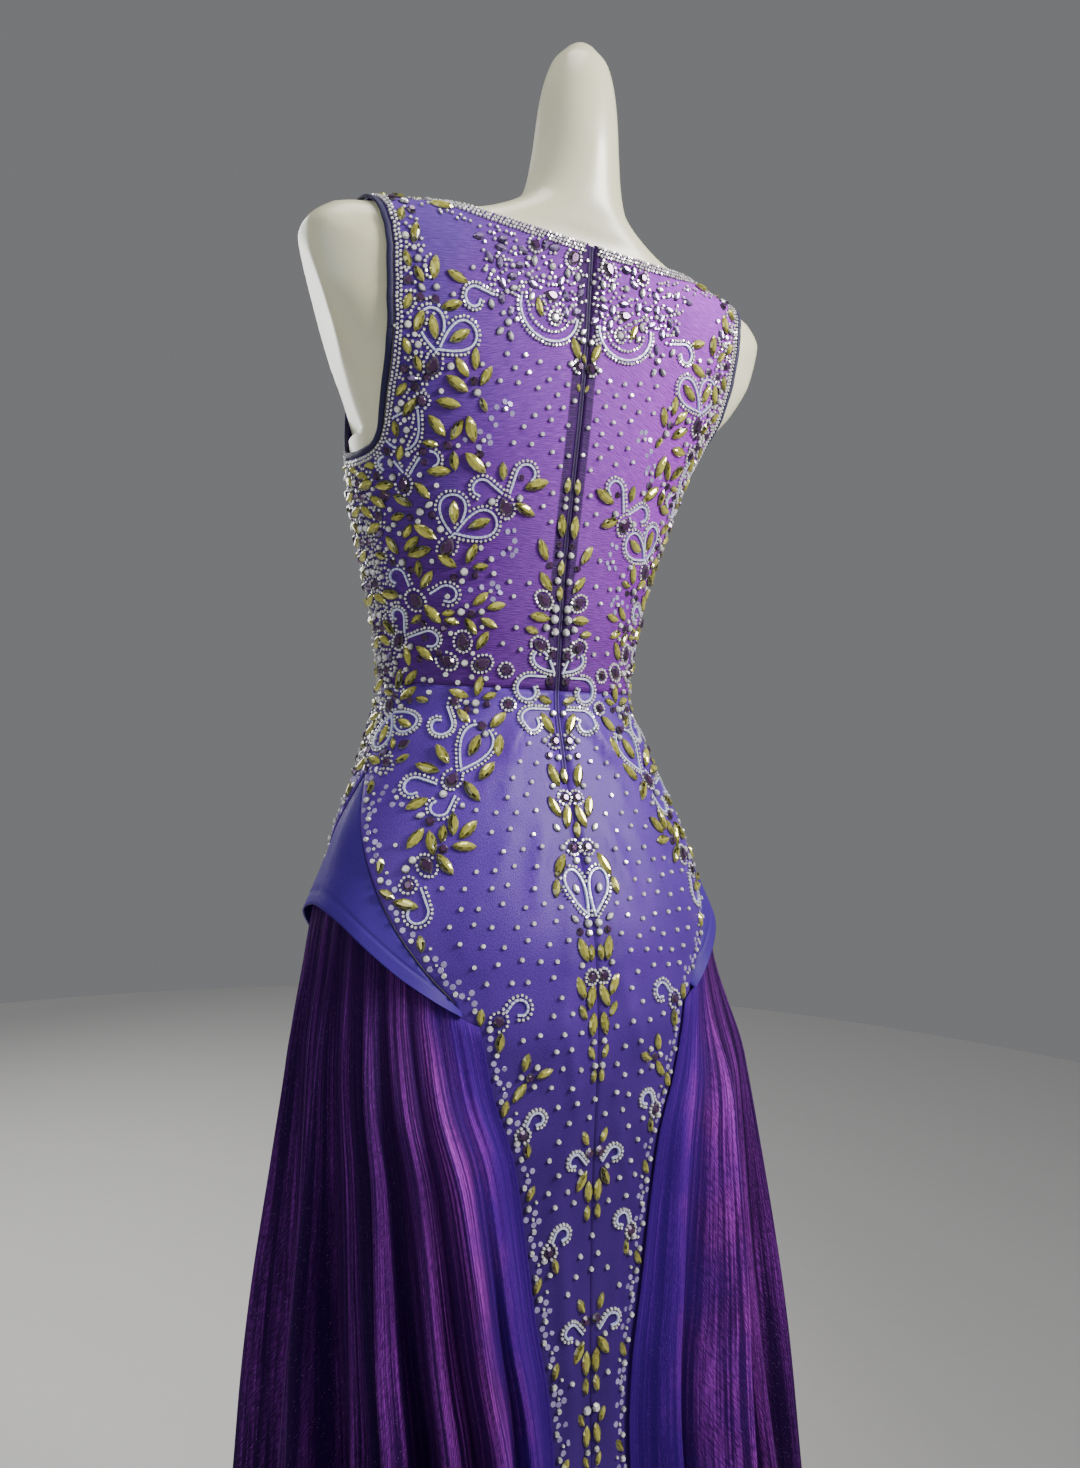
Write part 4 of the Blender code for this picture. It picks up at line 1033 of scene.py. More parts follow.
def panelAngle(height, front=False):
    # below the tip the edge runs on under the overskirt, and above it to the yoke
    nearTip = smoothStep((height - skirt["yokeTip"] + skirt["tipRun"]) / skirt["tipRun"])
    lap = skirt["panelLap"] + skirt["tipLap"] * nearTip
    below = angleAtWidth(panelPoint, height, panelShownAt(height) + lap, front)
    seam = np.maximum(yokeSeamAngle(height), tipAngle + (180.0 - 2 * tipAngle) * skirt["tipShare"])
    return skirtEdge(height, seam, below, front)


def panelHeights(count):
    top = figure["waist"] - figure["seamGap"] / 2
    fixed = [skirt["hem"], skirt["yokeTip"], skirt["yokeApex"], top]
    steps = np.diff(fixed)
    numbers = np.round(steps / steps.sum() * count).astype(int)
    parts = [np.linspace(a, b, n, endpoint=False) for a, b, n in zip(fixed, fixed[1:], numbers)]
    return np.concatenate(parts + [[top]])


def buildPanels():
    def sheet(*row):
        return creasedSheet(panels, panelPoint, cloths["satin"], "satin", *row)

    heights = panelHeights(panels["rows"])
    start = np.where(heights >= skirt["yokeApex"], panels["zipHalf"], figure["seamGap"] / 2)
    first = angleAtWidth(panelPoint, heights, start)
    last = panelAngle(heights)
    last = last - seamTurn(panelPoint, heights, last, figure["seamGap"])
    share = np.linspace(0, 1, panels["backColumns"] + 1) ** panels["columnBend"]
    angle = first[None] + (last - first)[None] * share[:, None]
    height = np.broadcast_to(heights, angle.shape)
    rolled, creases = ("start", "top"), panels["backCreases"]
    made = [
        sheet("skirtBack" + label, "skirt_back_" + word, height, angle, rolled, creases, side)
        for label, word, side in bothSides
    ]
    heights = panelHeights(panels["frontRows"])
    first = panelAngle(heights, True)
    first = first + seamTurn(panelPoint, heights, first, figure["seamGap"])
    share = np.linspace(0, 1, panels["frontColumns"] + 1)
    angle = first[None] + (360 - 2 * first)[None] * share[:, None]
    height = np.broadcast_to(heights, angle.shape)
    return made + [sheet("skirtFront", "skirt_front", height, angle, ("top",), panels["frontCreases"])]


panelPieces = buildPanels()
print("satin panels made")

# The hip yokes: flat satin flaps with a free lower edge
yokes = {
    "wall": 0.0012,
    "sideEdge": 0.925,
    "standTip": 0.0065,
    "standSide": 0.0125,
    "edgeBow": 1.25,
    "flare": 1.3,
    "tipCut": 0.035,
    "columns": 96,
    "rows": 34,
    "edgeRoll": (0.0007, 0.0022),
    # distance from the free edge, depth and half width of the hem's stitch line
    "hemLine": 0.0105,
    "hemDip": 0.0007,
    "hemWidth": 0.0011,
    # depth of the free edge's waves, and how many radians they run through
    "wave": (0.0007, 31.0),
}


def yokeEdgeHeight(share):
    tip = skirt["yokeTip"]
    return tip + (yokes["sideEdge"] - tip) * np.sin(np.pi * share) ** yokes["edgeBow"]


def buildYokes():
    made = []
    share = np.linspace(yokes["tipCut"], 1 - yokes["tipCut"], yokes["columns"] + 1)[:, None]
    level = np.linspace(0, 1, yokes["rows"] + 1)[None, :]
    angle = tipAngle + (180 - 2 * tipAngle) * share
    backAngle = np.minimum(angle, 180 - angle)
    backAngle = backAngle - seamTurn(panelPoint, skirt["yokeTip"], backAngle, 3 * figure["seamGap"])
    top = yokeSeamHeight(backAngle) - figure["seamGap"]
    bottom = yokeEdgeHeight(share)
    stand = yokes["standTip"] + (yokes["standSide"] - yokes["standTip"]) * np.sin(np.pi * share)
    height = bottom + (top - bottom) * level
    gap = figure["clothGap"] + (stand - figure["clothGap"]) * (1 - level) ** yokes["flare"]
    fromEdge = (top - bottom) * level
    gap = gap - yokes["hemDip"] * np.exp(-(((fromEdge - yokes["hemLine"]) / yokes["hemWidth"]) ** 2))
    depth, turns = yokes["wave"]
    gap = gap + depth * (1 - level) ** 2 * np.sin(share * turns) * np.sin(np.pi * share)
    angle = np.broadcast_to(angle, height.shape)
    for label, word, side in bothSides:
        points = panelPoint(height, side * angle)
        roll = edgeRoll(points, ("top",), *yokes["edgeRoll"])
        inner = raised(panelPoint, height, side * angle, gap + roll)
        outer = raised(panelPoint, height, side * angle, gap + roll + yokes["wall"])
        piece = shellPiece("hipYoke" + label, inner, outer, cloths["yokeSatin"], clothUv(outer))
        made.append(settle(piece, "hip_yoke_" + word))
    return made


yokePieces = buildYokes()
print("hip yokes made")

# The overskirts: shimmer tulle gathered under the yokes, falling in folds to the floor
overskirt = {
    "wall": 0.0010,
    "cutWidth": 1.65,
    "hem": 0.006,
    "tuck": 0.030,
    "tuckShare": 0.30,
    "tipDrop": (0.003, 0.35, 0.50),
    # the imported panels' wall and half the overskirt's own, then the gap at the top and the hem
    "overPanel": 0.0021,
    "lapGap": (0.0010, 0.0050),
    "fall": (0.010, 0.12),
    "edgeSwell": 0.16,
    "edgeFade": 0.05,
    "foldGrowth": 0.075,
    "gatherDepth": 0.0016,
    "evenGather": 0.0008,
    # place of each crest along the gathers, its rise at the hem, height of half its rise
    "folds": (
        (0.050, 0.020, 0.62),
        (0.115, 0.034, 0.74),
        (0.185, 0.028, 0.56),
        (0.260, 0.038, 0.68),
        (0.330, 0.024, 0.50),
        (0.405, 0.036, 0.72),
        (0.480, 0.030, 0.60),
        (0.560, 0.038, 0.70),
        (0.635, 0.024, 0.52),
        (0.710, 0.034, 0.66),
        (0.785, 0.028, 0.58),
        (0.860, 0.034, 0.70),
        (0.940, 0.020, 0.60),
    ),
    "columns": 300,
    "rows": 84,
    # finer pleats between the folds: count, depth low down, depth under the yoke, phase
    "pleats": ((61.0, 0.0012, 0.0008, 0.4), (97.0, 0.0005, 0.0009, 1.9), (37.0, 0.0024, 0.0004, 4.1)),
    # size and pace of the two waves that the pleats wander by, in radians
    "wander": ((0.5, 5.3), (0.3, 11.0)),
    # height where the low depth starts to take over, and the run over which it does
    "pleatRun": (0.93, 0.35),
    # even part and swing of the big folds' rise
    "foldRise": (0.15, 0.85),
}


def foldProfile(share):
    # rise of the big folds from -0.7 in a valley to 1 on a crest, with the depth and height
    crests, depths, halves = np.array(overskirt["folds"]).T
    middles = (crests[1:] + crests[:-1]) / 2
    places = np.sort(np.concatenate([crests, middles]))
    valleyDepth = np.minimum(depths[1:], depths[:-1])
    valleyHalf = np.where(depths[1:] < depths[:-1], halves[1:], halves[:-1])
    depthKnots = np.empty(len(places))
    halfKnots = np.empty(len(places))
    depthKnots[0::2], depthKnots[1::2] = depths, valleyDepth
    halfKnots[0::2], halfKnots[1::2] = halves, valleyHalf
    turns = np.interp(share, places, np.arange(len(places)))
    even, swing = overskirt["foldRise"]
    rise = even + swing * np.cos(np.pi * turns)
    outside = (share < crests[0]) | (share > crests[-1])
    ends = np.where(share > 0.5, (1 - share) / (1 - crests[-1]), share / crests[0])
    rise = np.where(outside, smoothStep(ends * 0.5) * 2, rise)
    return rise, np.interp(share, places, depthKnots), np.interp(share, places, halfKnots)


def overskirtTop(share):
    edge = yokeEdgeHeight(share)
    angle = tipAngle + (180 - 2 * tipAngle) * share
    room = yokeSeamHeight(np.minimum(angle, 180 - angle)) - edge
    tuck = np.minimum(overskirt["tuck"], overskirt["tuckShare"] * room)
    drop, start, run = overskirt["tipDrop"]
    inside = smoothStep((np.sin(np.pi * share) - start) / run)
    return edge + tuck - drop * (1 - inside)


def overskirtMiddle(share, height):
    shown = panelShownAt(np.minimum(height, skirt["yokeTip"]))
    back = angleAtWidth(panelPoint, height, shown)
    front = angleAtWidth(panelPoint, height, shown, True)
    angle = back + (front - back) * share
    gap, hemGap = overskirt["lapGap"]
    lap = gap + (hemGap - gap) * (1 - height / yokes["sideEdge"])
    close = raised(panelPoint, height, angle, figure["clothGap"] + overskirt["overPanel"] + lap)
    x, y = ringPoint(angle, *(c(height) for c in overskirtCurves), skirt["square"])
    full = np.stack([x, y, height], axis=-1)
    start, run = overskirt["fall"]
    below = smoothStep((yokeEdgeHeight(share) + start - height) / run)
    swell = smoothStep(share / overskirt["edgeSwell"]) * smoothStep((1 - share) / overskirt["edgeSwell"])
    points = close + (full - close) * (below * swell)[..., None]
    rise, hemDepth, halfHeight = foldProfile(share)
    grown = 1 / (1 + np.exp((height - halfHeight) / overskirt["foldGrowth"]))
    depth = overskirt["evenGather"] + overskirt["gatherDepth"] * below + hemDepth * grown * smoothStep(below)
    edge = smoothStep(share / overskirt["edgeFade"]) * smoothStep((1 - share) / overskirt["edgeFade"])
    out = surfaceNormal(panelPoint, height, angle)
    out[..., 2] = 0.0
    out = unit(out)
    fine = np.zeros_like(share)
    (wide, slow), (narrow, quick) = overskirt["wander"]
    start, run = overskirt["pleatRun"]
    for count, low, high, phase in overskirt["pleats"]:
        wander = wide * np.sin(height * slow + count) + narrow * np.sin(height * quick + phase)
        wave = np.sin(share * count * math.pi + phase + wander)
        fine = fine + (high + (low - high) * smoothStep((start - height) / run)) * wave
    return points + out * ((depth * rise + fine * smoothStep(below + 0.25)) * edge)[..., None]


def buildOverskirts():
    made = []
    shares = np.linspace(0, 1, overskirt["columns"] + 1)[:, None]
    levels = np.linspace(0, 1, overskirt["rows"] + 1)[None, :]
    height = overskirt["hem"] + (overskirtTop(shares) - overskirt["hem"]) * levels
    share = np.broadcast_to(shares, height.shape)
    left = overskirtMiddle(share, height)
    for label, word, side in bothSides:
        middle, gathers = (left * np.array([side, 1, 1]))[::side], share[::side]
        half = gridNormals(middle) * (overskirt["wall"] / 2)
        uv = np.stack([gathers * overskirt["cutWidth"], pathLengths(middle, 1)], axis=-1)
        piece = shellPiece("overskirt" + label, middle - half, middle + half, cloths["tulle"], uv)
        # from 0 in a valley to 1 on a crest, for the inner and the outer side; the tulle's colour paints
        # highlight on the crests and shade in the valleys from it
        even, swing = overskirt["foldRise"]
        crest = np.clip((foldProfile(gathers)[0] - even + swing) / (2 * swing), 0, 1)
        for name, values in (("gatherShare", gathers), ("crest", crest)):
            addValues(piece.data, name, np.concatenate([values.ravel()] * 2))
        made.append(settle(piece, "overskirt_" + word))
    return made


overskirtPieces = buildOverskirts()
print("overskirts made")

# Beading: cut stones, crystals and bugles set on the cloth by Geometry Nodes
beading = {
    "sink": 0.0004,
    "edgeMargin": 0.0032,
    "seed": 27,
    # length, width and height of each kind, in millimetres, and how far it may lean
    "kinds": {
        "leaf": (21.0, 9.2, 4.1, 0.08),
        "smallLeaf": (13.6, 6.8, 3.3, 0.08),
        "drop": (13.8, 10.0, 3.9, 0.05),
        "gem": (8.6, 8.6, 3.7, 0.06),
        "round": (7.0, 7.0, 3.4, 0.14),
        "lilac": (10.4, 6.2, 3.0, 0.10),
        "petal": (8.0, 5.2, 2.8, 0.12),
        "chip": (4.3, 4.3, 2.5, 0.22),
        "bugle": (3.2, 2.5, 1.9, 0.04),
        "tiny": (3.0, 3.0, 2.1, 0.20),
        "sequin": (5.4, 5.4, 0.8, 0.22),
    },
    # the order in which kinds are set, and within one as laid; each keeps clear of those before it
    "order": (
        "drop", "gem", "bugle", "leaf", "round", "smallLeaf", "lilac", "petal", "tiny", "chip", "sequin"
    ),
    "nudged": ("leaf", "smallLeaf", "drop"),
    # how much closer than touching two stones may lie
    "crowding": 0.84,
    "nudge": 0.0026,
    # steps of a nudge, along a stone and across it, in the order they are tried
    "nudges": ((0, 0), (1, 0), (-1, 0), (0, 1), (0, -1), (2, 0), (-2, 0), (0, 2), (0, -2), (3, 0), (-3, 0)),
    # share of a stone's length that it keeps off an edge, and that its outer probes stand off
    "endRoom": 0.36,
    # a stone counts as long from this many widths
    "longFrom": 1.3,
    "zipRoom": 0.0034,
    "neckRoom": 0.0004,
    "hemRoom": 0.004,
    # how far apart in depth two stones may still touch, and the side of the boxes they are kept in
    "depth": 0.004,
    "cell": 0.014,
}
beadKinds = list(beading["kinds"])
beadRows = {kind: [] for kind in beadKinds}
laid = []
setStones = {}
chance = np.random.default_rng(beading["seed"])


def clothTop(height, angle):
    # how far the outer side of the beaded cloth lies above the figure
    points = panelPoint(height, angle)
    turned = np.mod(angle, 360)
    front = (turned > 90) & (turned < 270)
    left = turned < 180
    onBodice = height >= figure["waist"]
    rise = np.where(onBodice, bodice["rise"] + bodice["wall"], panels["rise"] + panels["wall"])
    for sizes, zone, surface in ((bodice, onBodice, figurePoint), (panels, ~onBodice, panelPoint)):
        for creases, where, side in (
            ("backCreases", ~front & left, 1),
            ("backCreases", ~front & ~left, -1),
            ("frontCreases", front, 1),
        ):
            part = zone & where
            if part.any():
                rise[part] += creaseRise(points[part], surface, sizes[creases], side)
    return figure["clothGap"] + rise


def surfaceAxes(height, angle):
    # the point, the outward normal, and the directions round the body and up it
    normal = surfaceNormal(panelPoint, height, angle)
    around = unit(aroundBy(panelPoint, height, angle))
    return panelPoint(height, angle), normal, around, np.cross(around, normal)


def stepAlong(height, angle, x, y):
    # from a place, go x round the body and y up it, both in metres
    height, angle, x, y = (v.copy() for v in np.broadcast_arrays(
        *(np.atleast_1d(np.asarray(v, float)) for v in (height, angle, x, y))))
    origin, _, around, up = surfaceAxes(height, angle)
    step, turn = 0.0004, 0.3
    for _ in range(5):
        point = panelPoint(height, angle)
        offset = point - origin
        errorX = x - dots(offset, around)
        errorY = y - dots(offset, up)
        byHeight = upBy(panelPoint, height, angle, step) / (2 * step)
        byAngle = aroundBy(panelPoint, height, angle, turn) / (2 * turn)
        a, b, c, d = (dots(way, axis) for axis in (around, up) for way in (byHeight, byAngle))
        size = a * d - b * c
        size = np.where(np.abs(size) < 1e-9, 1e-9, size)
        height = height + np.clip((errorX * d - errorY * b) / size, -0.02, 0.02)
        angle = angle + np.clip((errorY * a - errorX * c) / size, -12, 12)
    return height, angle


arcHeights = np.linspace(skirt["hem"], figure["neckline"], 400)
arcAngles = np.linspace(0, 180, 361)
arcSteps = np.linalg.norm(np.diff(panelPoint(arcHeights[:, None], arcAngles[None]), axis=1), axis=-1)
arcTable = np.concatenate([np.zeros((len(arcHeights), 1)), np.cumsum(arcSteps, axis=1)], axis=1)


def arcRow(height):
    return arcTable[int(np.argmin(np.abs(arcHeights - height)))]


def angleAtArc(height, arc, front=False):
    # the angle where a ring is the given distance round from centre back or front
    row = arcRow(height)
    distance = row[-1] - abs(arc) if front else abs(arc)
    angle = float(np.interp(distance, row, arcAngles))
    if front:
        return angle if arc >= 0 else 360 - angle
    return math.copysign(angle, arc)


def edgeAngle(height, front=False):
    # where the beaded cloth ends on the wearer's left
    below = angleAtWidth(panelPoint, height, panelShownAt(height), front)
    onSkirt = skirtEdge(height, yokeSeamAngle(height), below, front)
    return np.where(height >= figure["waist"], armholeAngle(height, front), onSkirt)


def onCloth(height, angle, margin):
    turned = np.mod(angle, 360)
    turned = np.abs(np.where(turned > 180, turned - 360, turned))
    backLimit, frontLimit = edgeAngle(height), edgeAngle(height, True)
    inside = (turned <= backLimit) | (turned >= frontLimit)
    point = panelPoint(height, turned)
    limit = np.where(turned < 90, backLimit, frontLimit)
    away = np.linalg.norm(point - panelPoint(height, limit), axis=-1)
    byArmhole = (height > figure["underarm"]) & (height < figure["shoulderPoint"])
    byEdge = byArmhole | (height < skirt["yokeApex"])
    clear = inside & (~byEdge | (away > margin))
    # nothing sits on the zip
    zipClear = (turned > 90) | (height < zipFly["end"]) | (np.abs(point[..., 0]) > beading["zipRoom"])
    belowNeck = height < figure["neckline"] - beading["neckRoom"]
    return clear & zipClear & belowNeck & (height > skirt["hem"] + beading["hemRoom"])


def lay(rows, height, angle, turn=0.0, outward=1, scale=1.0, margin=None):
    # keep a motif for setting: rows of kind, x, y, direction and scale in millimetres
    c, s = math.cos(math.radians(turn)), math.sin(math.radians(turn))
    margin = beading["edgeMargin"] if margin is None else margin
    for kind, x, y, direction, own in rows:
        u, v = (x * c - y * s) * scale / 1000, (x * s + y * c) * scale / 1000
        direction = direction + turn
        if outward < 0:
            u, direction = -u, 180 - direction
        size = own * (scale if kind in beading["nudged"] else 1.0)
        laid.append((beadKinds.index(kind), height, angle, u, v, direction, size, margin))


def setLaid(clearance=0.0):
    # place what has been laid, each stone clear of those already there
    table = np.array(laid, float)
    laid.clear()
    kind, size, margin = table[:, 0].astype(int), table[:, 6], table[:, 7]
    height, angle = stepAlong(table[:, 1], table[:, 2], table[:, 3], table[:, 4])
    # a long stone of a motif keeps its whole length off the edges
    lengths = np.array([beading["kinds"][name][0] / 1000 for name in beadKinds])[kind]
    keep = onCloth(height, angle, margin + np.where(margin > 0, beading["endRoom"] * lengths, 0.0))
    height, angle, kind, size, direction = (v[keep] for v in (height, angle, kind, size, table[:, 5]))
    _, normal, around, up = surfaceAxes(height, angle)
    place = panelPoint(height, angle) + normal * (clothTop(height, angle) - beading["sink"])[:, None]
    turn = np.radians(direction)[:, None]
    along = around * np.cos(turn) + up * np.sin(turn)
    across = np.cross(normal, along)
    sizes = np.array([beading["kinds"][name][:3] for name in beadKinds])[kind] / 1000 * size[:, None]
    rank = np.array([beading["order"].index(name) for name in beadKinds])[kind]
    cell = beading["cell"]
    for k in np.argsort(rank, kind="stable"):
        wide = sizes[k, 1]
        tries = len(beading["nudges"]) if beadKinds[kind[k]] in beading["nudged"] else 1
        for alongShare, acrossShare in beading["nudges"][:tries]:
            point = place[k] + beading["nudge"] * (along[k] * alongShare + across[k] * acrossShare)
            reach = sizes[k, 0] * beading["endRoom"] if sizes[k, 0] > beading["longFrom"] * wide else 0.0
            probes = [point, point + along[k] * reach, point - along[k] * reach] if reach else [point]
            if any(near(probe, wide * beading["crowding"] / 2 + clearance, cell) for probe in probes):
                continue
            key = tuple(np.floor(point / cell).astype(int))
            stone = (*point, *along[k], *across[k], sizes[k, 0] / 2, sizes[k, 1] / 2)
            setStones.setdefault(key, []).append(stone)
            beadRows[beadKinds[kind[k]]].append((point, normal[k], along[k], sizes[k]))
            break


def near(probe, grow, cell):
    # whether a place lies on a stone that is already there, grown by a margin
    x, y, z = probe
    i, j, k = (math.floor(v / cell) for v in probe)
    for a, b, c in itertools.product((i - 1, i, i + 1), (j - 1, j, j + 1), (k - 1, k, k + 1)):
        for px, py, pz, lx, ly, lz, wx, wy, wz, half, width in setStones.get((a, b, c), ()):
            dx, dy, dz = x - px, y - py, z - pz
            u = (dx * lx + dy * ly + dz * lz) / (half * beading["crowding"] + grow)
            v = (dx * wx + dy * wy + dz * wz) / (width * beading["crowding"] + grow)
            apart = dx * dx + dy * dy + dz * dz
            if u * u + v * v < 1 and apart < (half + grow + beading["depth"]) ** 2:
                return True
    return False


def pathPoints(path, spacing, offset=0.0):
    # even places along a flat path in millimetres, moved to its left by the offset
    path = np.asarray(path, float)
    length = lineLengths(path)
    count = max(int(round(length[-1] / spacing)), 1)
    places = np.linspace(0, length[-1], count + 1)
    x, y = np.interp(places, length, path[:, 0]), np.interp(places, length, path[:, 1])
    slope = np.stack([np.gradient(x), np.gradient(y)], axis=1)
    slope /= np.maximum(np.linalg.norm(slope, axis=1, keepdims=True), 1e-9)
    turn = np.degrees(np.arctan2(slope[:, 1], slope[:, 0]))
    return np.stack([x - slope[:, 1] * offset, y + slope[:, 0] * offset, turn], axis=1)


def rowAlong(kind, path, spacing, offset=0.0):
    if offset:
        path = pathPoints(path, 0.8, offset)[:, :2]
    return [(kind, x, y, turn, 1.0) for x, y, turn in pathPoints(path, spacing)]


def doubleRow(path, outer=1):
    # silver bugles with round crystals on the outer side
    return rowAlong("bugle", path, 3.0) + rowAlong("tiny", path, 3.1, 2.75 * outer)


def moved(rows, x, y, turn=0.0, flip=False):
    c, s = math.cos(math.radians(turn)), math.sin(math.radians(turn))
    out = []
    for kind, px, py, direction, own in rows:
        if flip:
            px, direction = -px, 180 - direction
        out.append((kind, x + px * c - py * s, y + px * s + py * c, direction + turn, own))
    return out


def hookPath(stem, radius, sweep, tighten, steps=40):
    # a straight stem that curls over to the left
    points = [(0.0, 0.0), (0.0, stem)]
    heading, x, y, turned = 90.0, 0.0, stem, 0.0
    while turned < sweep:
        length = math.radians(sweep / steps) * radius * (1 - tighten * turned / sweep)
        heading += sweep / steps
        turned += sweep / steps
        x += length * math.cos(math.radians(heading))
        y += length * math.sin(math.radians(heading))
        points.append((x, y))
    return points


def loopPath(length, width, steps=48):
    # a drop-shaped loop from its tip at the origin
    out = []
    for k in range(steps + 1):
        turn = 2 * math.pi * k / steps
        across = -width * 0.62 * math.sin(turn) * math.sin(turn / 2) ** 1.1
        out.append((across, length * (1 - math.cos(turn)) / 2))
    return out


def arcPath(halfWidth, halfHeight, degrees):
    turns = [math.radians(a) for a in degrees]
    return [(halfWidth * math.cos(turn), halfHeight * math.sin(turn)) for turn in turns]


def ovalRow(kind, x, y, length, width, turn=0.0, spacing=3.05):
    count = int(round(math.pi * (length + width) / 2 / spacing))
    out = []
    for k in range(count):
        a = 2 * math.pi * k / count
        out.append((kind, length / 2 * math.cos(a), width / 2 * math.sin(a), math.degrees(a), 1.0))
    return moved(out, x, y, turn)


def bordered(x, y, turn, kind="drop"):
    length, width = (side + 3.4 for side in beading["kinds"][kind][:2])
    return [(kind, x, y, turn, 1.0)] + ovalRow("tiny", x, y, length, width, turn)


def fan(kind, angles, reach, scale=1.0):
    places = arcPath(reach, reach, angles)
    return [(kind, x, y, angle, scale) for (x, y), angle in zip(places, angles)]


def hook(stem, radius, sweep, tighten=0.45):
    return doubleRow(hookPath(stem, radius, sweep, tighten), -1)


def loop(length, width):
    return doubleRow(loopPath(length, width))


def put(kind, *places):
    # stones of one kind: x, y, direction and scale of each, where the last two may be left out
    return [(kind, *place, *(0.0, 1.0)[len(place) - 2:]) for place in places]


